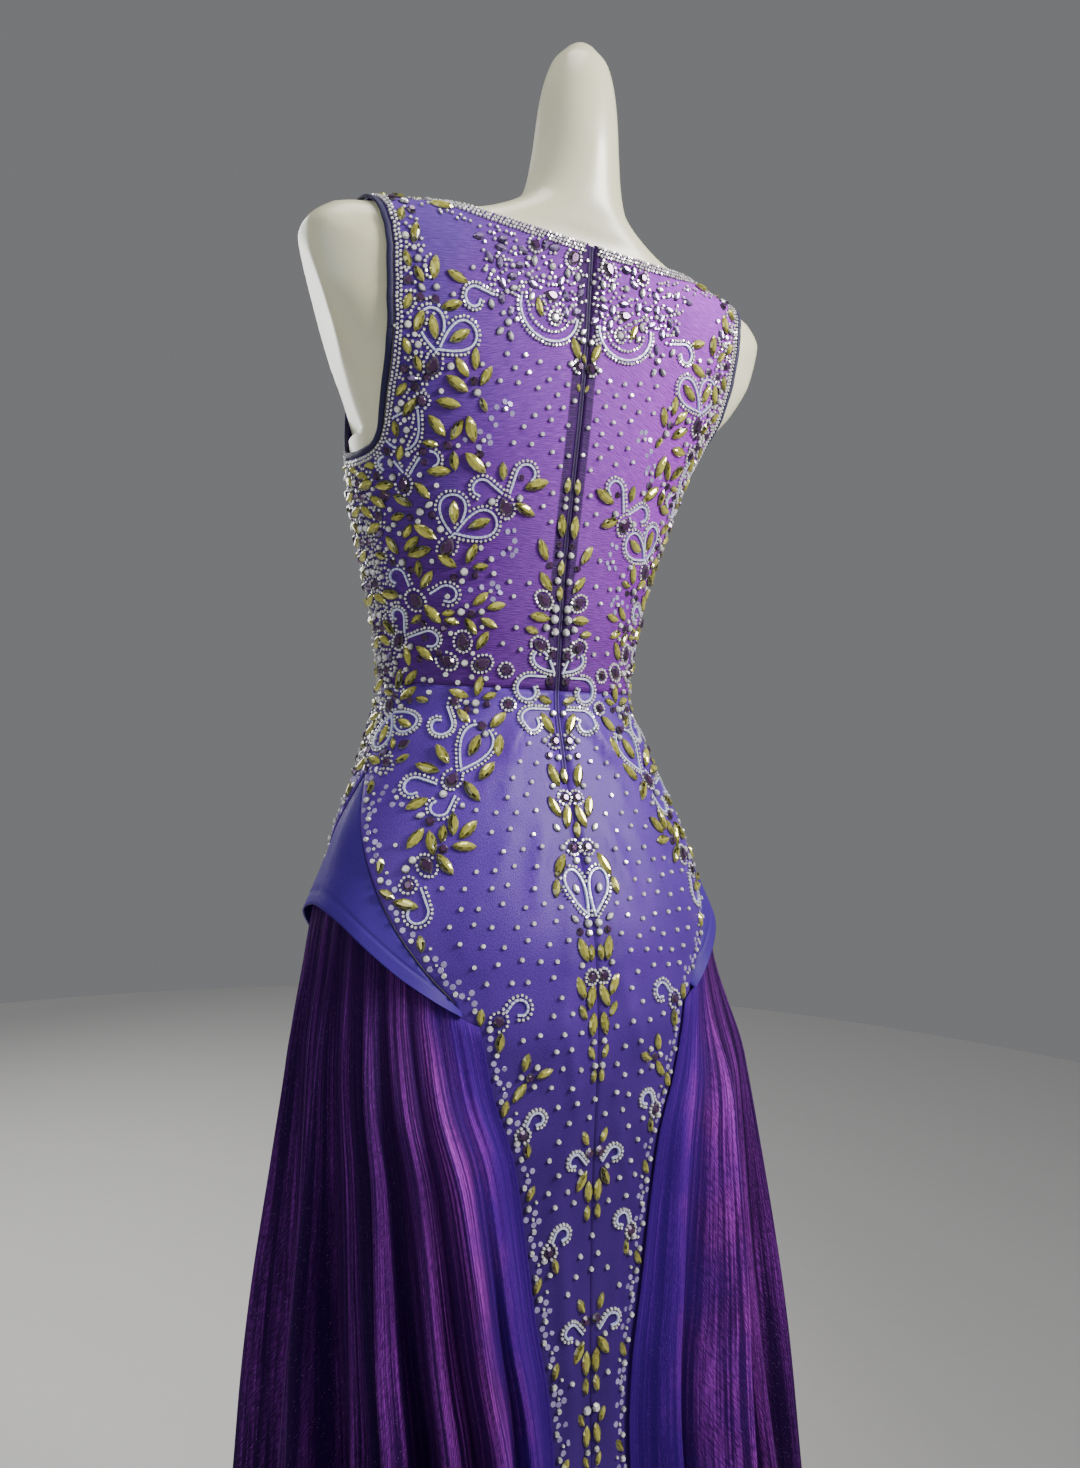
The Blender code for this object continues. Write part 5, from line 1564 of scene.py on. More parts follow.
# Motifs, in millimetres, x round the body and y up; those named half lie beside the centre line
motifs = {
    # two curling hooks with leaves between them, and a dark drop where they meet
    "hookSpray": bordered(-1, -7, 62) + moved(hook(15, 8.6, 215), -2.5, 4, 8)
    + moved(hook(12, 7.6, 205), 4, 2, -62, True) + moved(fan("leaf", (118, 34, -2, 152), 23.5), 1, 1)
    + put("leaf", (15, -12.5, -28, 0.95), (-16, -6, 200, 0.9), (34, 40, 60, 0.95))
    + put("smallLeaf", (5.5, 17, 78)) + put("round", (8, 8), (9.5, -5.5), (-10.5, 1, 0, 0.95))
    + put("gem", (24, 25, 0, 0.8), (-9, 15.5, 0, 0.7)) + put("petal", (30.5, 31, 45, 1.1))
    + put("chip", (17.5, 19, 0, 1.2), (0.5, 12)),
    # a drop-shaped loop round one leaf, two leaves beside it and a dark stone at its tip
    "loopSpray": loop(33, 25) + put("leaf", (-1, 19.5, 84, 0.92)) + put("gem", (0, -5.5))
    + ovalRow("tiny", 0, -5.5, 11.6, 11.6) + moved(fan("leaf", (24, 156), 20, 0.95), 0, -4)
    + moved(fan("leaf", (-26, 206, 268), 19, 0.92), 0, -5)
    + put("round", (11, 3, 0, 0.9), (-11, 3, 0, 0.9)) + put("chip", (10, -14, 0, 1.1), (-10, -14, 0, 1.1)),
    # two loops from one root, each with its own leaf
    "heartLoops": moved(loop(30, 20), 1.5, 3, 32) + moved(loop(28, 19), 2.5, 1, -38)
    + put("leaf", (-8.5, 20.5, 122, 0.86), (13, 16, 52, 0.82)) + put("drop", (0, -7.5, 80))
    + ovalRow("tiny", 0, -7.5, 17, 13.2, 80) + moved(fan("leaf", (-8, 190, -52), 21, 0.94), 0, -6)
    + put("round", (11.5, -1, 0, 0.95), (-11, -2, 0, 0.95)) + put("smallLeaf", (1.5, 24, 92, 0.9)),
    # three clear stones over a bordered drop, short hooks at both sides
    "rosetteHooks": bordered(0, -8, 20) + put("round", (-5, 3, 0, 1.1), (3.5, 4.5, 0, 1.1), (0, 11))
    + moved(hook(8, 7.6, 240), -8, 2, 30) + moved(hook(8, 7.2, 235), 9.5, 0, -48, True)
    + moved(fan("leaf", (-18, 196, 244, -66), 21, 0.92), 0, -7)
    + put("smallLeaf", (8, 13.5, 58), (-7.5, 15.5, 118)) + put("chip", (6, -1, 0, 1.1)),
    # leaves set alternately on a short line of stones, all pointing one way
    "leafSpray": put("round", (0, 0), (6, 17.5, 0, 0.85)) + put("gem", (1.5, 9.5, 0, 0.85))
    + put("leaf", (-9.5, 12.5, 126, 0.95), (14.5, 11.5, 28, 0.95))
    + put("leaf", (-1.5, 27, 102, 0.92), (15.5, 28.5, 58, 0.95))
    + put("smallLeaf", (-4.5, -10.5, 250)) + put("petal", (4.5, -8, -66, 1.1))
    + put("chip", (-5.5, 3.5, 0, 1.1), (7, 3, 0, 1.1), (-7, 22)),
    "smallSpray": fan("smallLeaf", (62, 118), 11, 1.1) + put("leaf", (0, -13, 90, 0.85))
    + put("gem", (0, 0, 0, 0.85)) + put("chip", (6.5, -3.4, 0, 1.1), (-6.5, -3.4, 0, 1.1))
    + put("round", (0, 9, 0, 0.8)),
    "tripleDrops": bordered(-13, -5, 146) + bordered(14, -6, 22) + bordered(4, 11, 80)
    + put("leaf", (-11, 13.5, 116, 0.86), (20, 8.5, 48, 0.8)) + put("round", (0.5, -6, 0, 0.95))
    + put("chip", (-4.5, 2.5, 0, 1.1), (6, -1.5)),
    # a long line that curls in at its outer end, a leaf and a dark stone in its bend
    "scroll": moved(hook(13, 11, 300, 0.6), 1, 0) + put("leaf", (10.5, 8, 66, 0.92))
    + put("gem", (8, -4.5, 0, 0.95)) + ovalRow("tiny", 8, -4.5, 11.2, 11.2),
    "petalCluster": fan("petal", (198, 342), 5.6) + fan("petal", (236, 304), 7.4, 1.1)
    + put("round", (0, 1.5, 0, 0.9)) + put("chip", (-5, 5.5), (5, 5.5)) + put("lilac", (0, 9.5, 90, 0.9)),
    # a bowl of double rows with a bordered clear stone and a leaf inside
    "crescent": doubleRow(arcPath(25, 21, range(178, 363, 4)), -1)
    + rowAlong("tiny", arcPath(18, 14.5, range(190, 351, 5)), 3.1) + put("round", (-5.5, -3.5, 0, 1.15))
    + put("leaf", (8.5, 0, 62, 0.72)) + ovalRow("tiny", -5.5, -3.5, 10.6, 10.6, spacing=3.0)
    + put("lilac", (-14.5, 4, 70)) + put("petal", (16.5, 4.5, 110, 1.1)) + put("drop", (0.5, 11.5, 0, 0.9)),
    # a tall spray beside the zip
    "centreHalf": put("smallLeaf", (4.9, 78, 90), (5.4, 12, 88, 1.05), (4.8, -8.5, 90), (26, -40, 14))
    + put("round", (5, 67.5, 0, 0.75), (5.2, 61, 0, 0.8), (5.4, 23, 0, 0.95), (5.4, 1.5, 0, 0.95))
    + put("round", (5.6, -21, 0, 1.1), (6.5, -30, 0, 1.2), (13.5, -37))
    + put("leaf", (6.2, 46, 88, 0.95), (21, 25, 62, 0.95), (16, 0, 54, 0.92), (19.5, -29, 2, 0.95))
    + put("gem", (6, 30.5, 0, 0.7), (13.5, 13.5, 0, 0.75)) + bordered(17, -15, 40)
    + put("chip", (4.6, -38, 0, 1.2)),
    # the cluster above the waist seam, and the curls beside it
    "waistHalf": moved(loop(23, 13), 4.5, -12, -52) + put("gem", (7.2, 1.5), (7.6, -19.5, 0, 0.95))
    + ovalRow("tiny", 7.2, 1.5, 11.6, 11.6) + bordered(18.5, 8.5, 28) + put("petal", (5, 12, 90, 1.2))
    + put("round", (5.2, 20.5, 0, 1.1)),
    "waistScrollHalf": moved(hook(16, 11.5, 300, 0.55), 10, 0, -90, True)
    + put("smallLeaf", (12, 8.5, 20, 1.1)) + put("gem", (46, 3.5, 0, 0.95))
    + ovalRow("tiny", 46, 3.5, 11.4, 11.4) + put("leaf", (30, -13, -28, 0.9)),
    # a pair of leaves over two dark stones
    "chevronHalf": put("leaf", (9.5, 4, 62, 0.98)) + bordered(6.4, -8, 0, "gem")
    + put("round", (15, -7.5, 0, 0.85), (4.6, 14.5, 0, 0.85)) + put("petal", (17.5, 7.5, 50, 1.1))
    + put("chip", (4.6, -16.5, 0, 1.1)),
    # the narrow spray that hangs at centre back
    "hangingHalf": put("leaf", (8.5, 30, 118, 0.95), (12.5, 9, 72, 0.98), (15.5, -21, 66, 0.92))
    + put("leaf", (8.5, -28, 108, 0.95)) + put("round", (4.8, 18.5, 0, 0.9), (14, -4.5, 0, 0.8))
    + put("smallLeaf", (4.4, 4, 90), (4.2, -39, 92)) + put("petal", (9, -6.5, 60, 1.1), (16.5, 29.5, 40, 1.1))
    + put("gem", (5.4, -14, 0, 0.95), (13, 20, 0, 0.8)) + ovalRow("tiny", 5.4, -14, 11.4, 11.4)
    + put("chip", (3.8, -22, 0, 1.2)),
    # a pair of loops with leaves outside
    "seamLoopHalf": moved(loop(34, 16), 3, -17, -18) + put("leaf", (19, 19, 118, 0.95))
    + put("smallLeaf", (20.5, 2, 104, 1.05)) + put("petal", (10, 1.5, 70, 1.2))
    + put("round", (4.5, -23, 0, 1.1), (4.8, 22, 0, 0.95)) + put("chip", (13, -19, 0, 1.2)),
    # the thinning line of stones below a cluster
    "tailHalf": put("round", (4.6, 22, 0, 1.1), (4.6, -12, 0, 0.8)) + put("leaf", (5.4, 1, 96, 0.9))
    + put("smallLeaf", (9.5, 13, 64), (6.4, -20, 68, 0.9), (3.6, -38, 92, 0.85))
    + put("chip", (3.6, -30, 0, 1.2)),
    # the cluster on the strip between the overskirts
    "stripHalf": moved(hook(9, 6.4, 240), 8.5, 4, -40, True) + put("gem", (5, 12, 0, 0.95))
    + put("round", (5, 2)) + put("leaf", (11.5, -10, -60, 0.9), (4.7, -17, 90, 0.92))
    + put("smallLeaf", (5, -34, 92), (9, 24, 70)) + put("chip", (4.2, -26, 0, 1.2), (13, -2, 0, 1.1)),
    # a small standing spray beside the strip's edge
    "stripSide": moved(hook(6, 6.6, 250), 0, 6, 10) + bordered(1.5, -2, 90, "gem")
    + put("leaf", (8, -15, -52, 0.92), (5, -27, -80, 0.85)) + put("smallLeaf", (-5.5, -13, -110))
    + put("round", (4.5, -8.5, 0, 0.9)) + put("chip", (-2, -20, 0, 1.1)),
    # pale sequins in a broken ring with a tail
    "sequinSwirl": ovalRow("sequin", 0, 0, 14, 11, spacing=4.6)[:7]
    + put("sequin", (9.5, -9), (13.5, -5, 0, 0.9), (5, -13, 0, 0.9)) + put("chip", (0, 0)),
    # loose leaves and rounds round a clear stone; set last, wherever there is room
    "leafRing": fan("leaf", (20, 98, 215), 15.5, 0.88) + fan("smallLeaf", (160, 292, 335), 13)
    + fan("petal", (60, 130, 250), 8.5, 1.1) + fan("gem", (185, 318), 9, 0.75)
    + fan("round", (0, 270), 7.6, 0.8) + fan("chip", range(-10, 350, 30), 23, 1.2)
    + put("round", (0, 0, 0, 1.05)),
    # a single curl under the neck edge, bordered on its outer side
    "neckScroll": moved(hook(13, 8.6, 275), -16, 3, -90, True) + put("leaf", (14, 3.5, 6, 0.9))
    + put("petal", (-17, -4, 60, 1.1)) + put("round", (-11, -4.5, 0, 0.9)),
    # a long slanting spray: loop, bordered drop, two hooks and a trail of leaves
    "hipSpray": moved(loop(38, 24), -6, 8, 24) + bordered(0, 0, 118)
    + moved(hook(12, 8.4, 230), 12, -4, -70, True) + moved(hook(11, 7.6, 225), -2, -14, -160)
    + put("leaf", (-14.5, 28, 114, 0.95), (-24, 9, 128, 0.95), (-30, 30, 96, 0.95), (8, 19, 58, 0.9))
    + put("leaf", (18, 8, 12, 0.95), (-14, -8, 232, 0.95), (10, -22, -62, 0.95), (-2, -34, -88, 0.9))
    + put("leaf", (24, -20, -30, 0.9), (22, -44, -58, 0.95), (-12, 54, 64, 0.9), (-29, 52, 134, 0.9))
    + put("gem", (14, -33, 0, 0.95), (-19, 44)) + put("chip", (-8, -20, 0, 1.1))
    + put("round", (6, -12, 0, 1.05), (13, -25.5, 0, 0.9), (-10, -1, 0, 0.95), (9, 8), (-22, 38, 0, 0.9))
    + put("petal", (18.5, -38, -50, 1.1), (21, -29, -20, 1.1)),
    # a curl and a pair of bordered stones beside an edge, leaves trailing inwards
    "edgeSpray": moved(hook(14, 8.8, 235), 8, 6, -20) + bordered(-1, 3, 90, "gem") + bordered(11, -11, 60)
    + put("round", (-3.5, -8.5, 0, 1.05), (1, -15), (4, -24, 0, 1.1), (29, -29, 0, 0.85))
    + put("leaf", (-3, 19, 10, 0.95), (25, -14, 50, 0.95), (16, -28, 262, 0.92), (34, -26, 8, 0.9))
    + put("leaf", (37, -40, -40, 0.95)) + put("smallLeaf", (-10, 13, 30), (26, -34, 280, 1.05))
    + put("gem", (22, -23.5, 0, 0.9)) + put("chip", (9, -20, 0, 1.1)) + put("petal", (33, -33, -30, 1.1)),
}

# motif, height, arc from the centre in millimetres, turn, scale
waistRows = (
    ("centreHalf", 1.188, 0, 0, 1),
    ("waistHalf", 1.127, 0, 0, 1),
    ("waistScrollHalf", 1.111, 0, 0, 1),
    ("waistScrollHalf", 1.084, 0, 0, 0.95),
)
centreRows = (
    ("chevronHalf", 1.066, 0, 0, 1.05),
    ("hangingHalf", 1.027, 0, 0, 1.05),
    ("chevronHalf", 0.984, 0, 0, 1.05),
    ("seamLoopHalf", 0.944, 0, 0, 1.1),
    ("hangingHalf", 0.896, 0, 0, 1),
    ("tailHalf", 0.846, 0, 0, 1),
)
backLayout = (
    ("crescent", 1.431, 37, 4, 1.05),
    ("petalCluster", 1.408, 73, 6, 1.15),
    ("neckScroll", 1.426, 104, 4, 1),
    ("chevronHalf", 1.399, 0, 0, 0.9),
    ("tailHalf", 1.386, 0, 0, 0.62),
    ("leafSpray", 1.396, 136, 22, 0.95),
    ("heartLoops", 1.362, 126, 14, 1.08),
    ("loopSpray", 1.316, 134, 200, 1.05),
    ("leafSpray", 1.34, 92, -20, 0.9),
    ("smallSpray", 1.29, 108, 200, 1.05),
    ("sequinSwirl", 1.332, 68, 0, 1),
    ("sequinSwirl", 1.3, 82, 60, 1),
    ("hookSpray", 1.254, 58, 4, 1.1),
    ("heartLoops", 1.216, 94, 34, 1.1),
    ("rosetteHooks", 1.174, 116, 26, 1.08),
    ("hookSpray", 1.262, 136, 20, 0.95),
    ("hookSpray", 1.138, 128, 64, 0.92),
    ("tripleDrops", 1.124, 78, 4, 1),
    ("leafSpray", 1.158, 84, 106, 0.85),
    ("sequinSwirl", 1.176, 62, 20, 1.1),
    ("sequinSwirl", 1.212, 50, 120, 1),
    *waistRows,
    ("scroll", 1.08, 92, 160, 0.9),
    ("hipSpray", 1.026, 96, 2, 1.06),
    ("heartLoops", 1.074, 142, 150, 0.95),
    ("sequinSwirl", 1.01, 140, 60, 1),
    *centreRows,
    ("edgeSpray", 0.952, 139, 176, 1.05),
    ("stripSide", 0.856, 80, 28, 1.15),
    ("smallSpray", 0.813, 58, 36, 1),
    ("stripSide", 0.772, 60, 12, 0.95),
    ("stripHalf", 0.738, 0, 0, 0.95),
    ("stripHalf", 0.61, 0, 0, 1),
    ("stripSide", 0.682, 36, 8, 0.95),
    ("tailHalf", 0.536, 0, 0, 0.9),
    ("stripHalf", 0.452, 0, 0, 0.95),
    ("smallSpray", 0.374, 24, 0, 0.9),
    ("stripHalf", 0.3, 0, 0, 0.95),
    ("smallSpray", 0.216, 28, 0, 0.95),
    ("stripHalf", 0.134, 0, 0, 1),
    ("leafRing", 1.342, 142, 0, 1),
    ("leafRing", 1.286, 134, 20, 1),
    ("leafRing", 1.235, 122, 10, 1),
    ("leafRing", 1.196, 132, 40, 1),
    ("leafRing", 1.19, 84, 10, 1),
    ("leafRing", 1.15, 104, 30, 1),
    ("leafRing", 1.126, 108, 0, 1),
    ("leafRing", 1.086, 70, 0, 0.95),
    ("leafRing", 1.09, 128, 30, 0.95),
)
frontLayout = (
    ("crescent", 1.436, 36, 4, 1.05),
    ("petalCluster", 1.408, 73, 6, 1.15),
    ("neckScroll", 1.426, 100, 4, 1),
    ("chevronHalf", 1.4, 0, 0, 0.9),
    ("tailHalf", 1.386, 0, 0, 0.62),
    ("heartLoops", 1.37, 100, 16, 1.05),
    ("loopSpray", 1.324, 110, 198, 1),
    ("leafSpray", 1.348, 66, -22, 0.9),
    ("sequinSwirl", 1.31, 66, 40, 1),
    ("hookSpray", 1.26, 76, 4, 1.08),
    ("rosetteHooks", 1.208, 112, 28, 1.05),
    ("heartLoops", 1.16, 112, 38, 1),
    ("sequinSwirl", 1.19, 62, 20, 1.1),
    ("tripleDrops", 1.126, 60, 4, 1),
    *waistRows,
    ("hipSpray", 1.022, 86, 2, 1.04),
    *centreRows,
    ("edgeSpray", 0.948, 124, 176, 1),
    ("stripSide", 0.856, 74, 28, 1.1),
    ("smallSpray", 0.812, 56, 36, 1),
    ("stripHalf", 0.738, 0, 0, 0.95),
    ("stripSide", 0.77, 56, 12, 0.9),
    ("stripHalf", 0.608, 0, 0, 1),
    ("tailHalf", 0.534, 0, 0, 0.9),
    ("stripHalf", 0.448, 0, 0, 0.95),
    ("smallSpray", 0.37, 24, 0, 0.9),
    ("stripHalf", 0.294, 0, 0, 0.95),
    ("stripHalf", 0.13, 0, 0, 1),
    ("leafRing", 1.286, 112, 20, 1),
    ("leafRing", 1.235, 108, 10, 1),
    ("leafRing", 1.19, 84, 10, 1),
    ("leafRing", 1.13, 104, 30, 1),
    ("leafRing", 1.086, 70, 0, 0.95),
)


def layMotifs(layout, front):
    # millimetres of arc from centre; the other half of the gown gets the mirror image
    for name, height, arc, turn, scale in layout:
        for side in (1, -1):
            angle = 180.0 if front else 0.0
            if arc:
                angle = angleAtArc(height, side * arc / 1000, front)
            lay(motifs[name], height, angle, turn, -side if front else side, scale)


def edgeFrames(heights, angles, spacing, start=0.0, stop=0.0):
    # even places along an edge: height, angle, and the turn of its direction in degrees
    length = lineLengths(panelPoint(heights, angles))
    places = np.arange(start, length[-1] - stop + 1e-6, spacing)
    height, angle = np.interp(places, length, heights), np.interp(places, length, angles)
    ahead, behind = (
        panelPoint(np.interp(places + step, length, heights), np.interp(places + step, length, angles))
        for step in (0.002, -0.002)
    )
    slope = unit(ahead - behind)
    _, _, around, up = surfaceAxes(height, angle)
    turn = np.degrees(np.arctan2(dots(slope, up), dots(slope, around)))
    return list(zip(height.tolist(), angle.tolist(), turn.tolist()))


def layEdge(pattern, heights, angles, inward, spacing, start=0.0, stop=0.0):
    # one pattern after another along an edge; its y runs into the cloth
    for number, (height, angle, turn) in enumerate(edgeFrames(heights, angles, spacing, start, stop)):
        rows = pattern[number % len(pattern)]
        if inward < 0:
            rows = [(kind, x, -y, -direction, own) for kind, x, y, direction, own in rows]
        lay(rows, height, angle, turn, margin=0.0)


# Stones beside each edge, in millimetres, y into the cloth; the patterns follow one another
edgePatterns = {
    "neck": (
        bordered(0, 16, 64) + put("petal", (-5, 29, 80, 1.1), (4.5, 28.5, 104, 1.1)),
        put("lilac", (0, 12, 20, 1.1), (-1, 19.5, 150, 1.1)) + put("round", (1, 27, 0, 0.95)),
        bordered(0, 15, 90, "gem") + put("lilac", (-9, 12, 84)) + put("petal", (0, 27, 90, 1.2)),
        put("lilac", (0, 12, -25, 1.1), (-3.5, 24, 104)) + put("petal", (3.5, 19, 60, 1.1)),
    ),
    "shoulder": (
        put("leaf", (0, 12.5, 8, 0.9)) + put("chip", (11, 10.5, 0, 1.1)),
        put("round", (0, 11.5, 0, 1.05), (6.5, 12, 0, 0.9)) + put("gem", (0.5, 18.5, 0, 0.8)),
        put("leaf", (0, 12.5, -12, 0.86)) + put("chip", (-10, 11, 0, 1.1)),
    ),
    "armhole": (
        put("round", (0, 9, 0, 0.95)) + put("leaf", (3, 17, 18, 0.85)) + put("chip", (-7, 13, 0, 1.1)),
        put("smallLeaf", (0, 9.5, 22)) + put("gem", (3, 19, 0, 0.85)) + put("chip", (-6, 16.5, 0, 1.1)),
        put("gem", (0, 9.5, 0, 0.85)) + put("petal", (-5.5, 16.5, 120, 1.1)) + put("smallLeaf", (5, 18, 150)),
        put("smallLeaf", (0, 9.5, -20)) + put("round", (1, 17.5, 0, 0.9)) + put("chip", (8, 14.5, 0, 1.1)),
    ),
    "sideSeam": (
        put("leaf", (0, 9, 62, 0.9)) + put("gem", (3, 22, 0, 0.95)) + put("smallLeaf", (-1, 33, 110)),
        put("round", (1, 5), (2, 29.5, 0, 0.9)) + put("leaf", (0, 17, 118, 0.9)),
        put("gem", (0, 6, 0, 0.9)) + put("leaf", (1, 19, 66, 0.9)) + put("drop", (-1, 32, 110, 0.85)),
    ),
    # loops of sequins and small stones down the edges of the skirt panels
    "panel": (
        ovalRow("sequin", 0, 8.5, 11, 9, spacing=4.4) + put("chip", (9, 5, 0, 1.1)) + put("tiny", (0, 8.5)),
        put("smallLeaf", (0, 8, 150)) + put("round", (8.5, 6, 0, 0.85)) + put("tiny", (5, 12.5)),
        ovalRow("sequin", 0, 8.5, 9, 11, spacing=4.4) + put("chip", (9, 8, 0, 1.1)) + put("tiny", (0, 8.5)),
        put("sequin", (-3, 5), (2.5, 6.5), (3, 12, 0, 0.9)) + put("chip", (7.5, 4.5, 0, 1.1)),
    ),
}


# spacing, start and stop of each pattern along its edge, in metres
edgeSteps = {
    "neck": (0.0172, 0.0105, 0.078),
    "shoulder": (0.0180, 0.116),
    "armhole": (0.0150,),
    "sideSeam": (0.0118, 0.002),
    "panel": (0.0172, 0.006),
    "tiny": (0.0030,),
}


def layPattern(name, *edge):
    layEdge(edgePatterns[name], *edge, *edgeSteps[name])


def layRows(edge, rows):
    # close rows of tiny crystals along an edge: distance from it in millimetres, and start
    for offset, start in rows:
        layEdge((put("tiny", (0, offset)),), *edge, *edgeSteps["tiny"], start)


def layNeck(side):
    for centre, first, last in ((0.0, 3.0, 89.0), (180.0, 0.0, -89.0)):
        angles = side * (centre + np.linspace(first, last, 240))
        heights = np.full(angles.shape, figure["neckline"])
        inward = -1 if (last > 0) == (side > 0) else 1
        edge = heights, angles, inward
        layRows(edge, ((1.5, 0.0), (4.2, 0.0015), (6.9, 0.0)))
        layPattern("neck", *edge)
        layPattern("shoulder", *edge)


def layArmhole(side):
    height, angle = armholeEdge(400)
    edge = height, angle if side > 0 else 360 - angle, side
    layRows(edge, ((1.7, 0.0), (4.5, 0.0015)))
    layPattern("armhole", *edge)


def laySides(side):
    # both sides of the side seam, from the underarm to the top of the yoke
    heights = np.linspace(figure["underarm"] - 0.004, skirt["yokeApex"] + 0.004, 200)
    for way in (-1, 1):
        angles = np.full(heights.shape, side * (90.0 + 0.01 * way))
        layPattern("sideSeam", heights, angles, side * way)


def layPanelEdges(side):
    heights = np.linspace(skirt["yokeApex"], 0.03, 500)
    for front, way in ((False, -1), (True, 1)):
        angles = side * edgeAngle(heights, front)
        layPattern("panel", heights, angles, side * way)


def reachRound(height, front):
    # how far the beaded cloth reaches round the body from its centre line
    row = arcRow(height)
    reach = np.interp(float(edgeAngle(np.array([height]), front)[0]), arcAngles, row)
    return row[-1] - reach if front else reach


# Where small stones fill in: a band below the neck and a strip beside the other edges, in metres
bands = {
    "least": 0.005,
    # depth added inside an arc of this length, which ends over this run
    "neck": (0.026, 0.104, 0.02),
    "centre": (0.016, 0.036, 0.03),
    "strip": 0.028,
    # depth of the waved lower edge of either, and how close the waves follow one another
    "neckWave": (0.005, 145.0),
    "stripWave": (0.005, 190.0),
    # room left at the neck, the other edges and the centre line, and how loosely the stones lie
    "room": (0.004, 0.002, 0.004),
    "loose": 0.65,
}
scatter = {
    "spacing": 0.0165,
    "rowShare": 0.80,
    "columns": 22,
    "loose": 0.005,
    "overHem": 0.02,
    "top": 1.44,
    "fromEdge": 0.006,
    # how clear of all other stones a single one stays
    "clearance": 0.0055,
}


def inBands(height, arc, reach):
    deeper, end, run = bands["neck"]
    wave, turns = bands["neckWave"]
    band = bands["least"] + (deeper + wave * math.cos(arc * turns)) * smoothStep((end - arc) / run)
    deeper, end, run = bands["centre"]
    band += deeper * smoothStep((end - arc) / run)
    wave, turns = bands["stripWave"]
    strip = bands["strip"] + wave * math.sin(height * turns)
    return figure["neckline"] - height < band or reach - arc < strip


def astray(step):
    return (chance.random() - 0.5) * step


def layFill(step, kinds):
    # small stones scattered finely; they stay only where there is room near the edges
    atNeck, atEdge, atCentre = bands["room"]
    loose = bands["loose"]
    for front in (False, True):
        for height in np.arange(skirt["yokeApex"], figure["neckline"] - atNeck, step):
            reach = reachRound(height, front)
            for arc in np.arange(reach - atEdge, atCentre, -step):
                if not inBands(height, arc, reach):
                    continue
                for side in (1, -1):
                    kind = kinds[int(chance.random() * len(kinds))]
                    up = height + astray(step) * loose
                    angle = angleAtArc(up, side * (arc + astray(step) * loose), front)
                    lay(put(kind, (0, 0, 180 * chance.random())), up, angle, margin=0.0)


def layScatter():
    # single stones in staggered rows over the rest of the beaded cloth
    spacing, loose = scatter["spacing"], scatter["loose"]
    heights = np.arange(skirt["hem"] + scatter["overHem"], scatter["top"], spacing * scatter["rowShare"])
    for front in (False, True):
        for number, height in enumerate(heights):
            reach = reachRound(height, front)
            for column in range(-scatter["columns"], scatter["columns"] + 1):
                arc = (column + 0.5 * (number % 2)) * spacing + astray(loose)
                up = height + astray(loose)
                if abs(arc) < reach - scatter["fromEdge"]:
                    rows = put("chip", (0, 0, 90 * chance.random()))
                    lay(rows, up, angleAtArc(up, arc, front))


for side in (1, -1):
    layNeck(side)
    layArmhole(side)
setLaid()
print("edges beaded")
layMotifs(backLayout, False)
layMotifs(frontLayout, True)
setLaid()
print("motifs set")
for side in (1, -1):
    laySides(side)
    layPanelEdges(side)
setLaid()
for step, kinds in ((0.0050, ("lilac", "petal", "lilac", "lilac", "chip")), (0.0031, ("tiny",))):
    layFill(step, kinds)
    setLaid()
print("edges filled")
layScatter()
setLaid(scatter["clearance"])
print("single stones scattered")


def stoneShape(name, outline, *levels):
    # a cut stone from rings of one outline: length and width share and height of each ring
    count = len(outline)
    vertices, faces, settingAndShadeRims = [], [], []
    for longShare, wideShare, z in levels:
        vertices += [(x * longShare, y * wideShare, z) for x, y in outline]
        # the lower rings take the metal mount's colour, together with painted shade along the stone's lower
        # side
        settingAndShadeRims += [1.0 if z < 0.5 else 0.0] * count
    # painted reflections and shade: one side of a stone is bright and the other dark, as cut glass looks from
    # any one place
    values = []
    for level in range(len(levels) - 1):
        for k in range(count):
            a, b = level * count + k, level * count + (k + 1) % count
            faces.append((a, b, b + count, a + count))
            way = math.sin(2 * math.pi * (k + 0.5) / count + 0.5)
            values.append(0.5 + 0.42 * way + (0.16 if (k + level) % 2 else -0.16))
    faces.append(tuple(range(count - 1, -1, -1)))
    faces.append(tuple(range((len(levels) - 1) * count, len(levels) * count)))
    mesh = bpy.data.meshes.new(name)
    mesh.from_pydata(vertices, [], faces)
    addValues(mesh, "rim", settingAndShadeRims)
    # the last two are the flat under side, in painted shade, and the flat top, with a painted highlight
    addValues(mesh, "paintedFacetLight", np.clip(values + [0.2, 0.88], 0, 1), "FACE")
    return bpy.data.objects.new(name, mesh)


def pointed(*half):
    # an outline from its tip along one side and back along the other
    return [(0.5, 0.0), *half, (-0.5, 0.0), *((x, -y) for x, y in reversed(half))]


def roundOutline(count):
    turns = [2 * math.pi * k / count for k in range(count)]
    return [(0.5 * math.cos(turn), 0.5 * math.sin(turn)) for turn in turns]


leafOutline = pointed((0.36, 0.28), (0.13, 0.48), (-0.13, 0.48), (-0.36, 0.28))
dropOutline = pointed((0.30, 0.27), (0.02, 0.47), (-0.26, 0.45), (-0.45, 0.23))
barOutline = [(0.5, 0.42), (-0.5, 0.42), (-0.5, -0.42), (0.5, -0.42)]
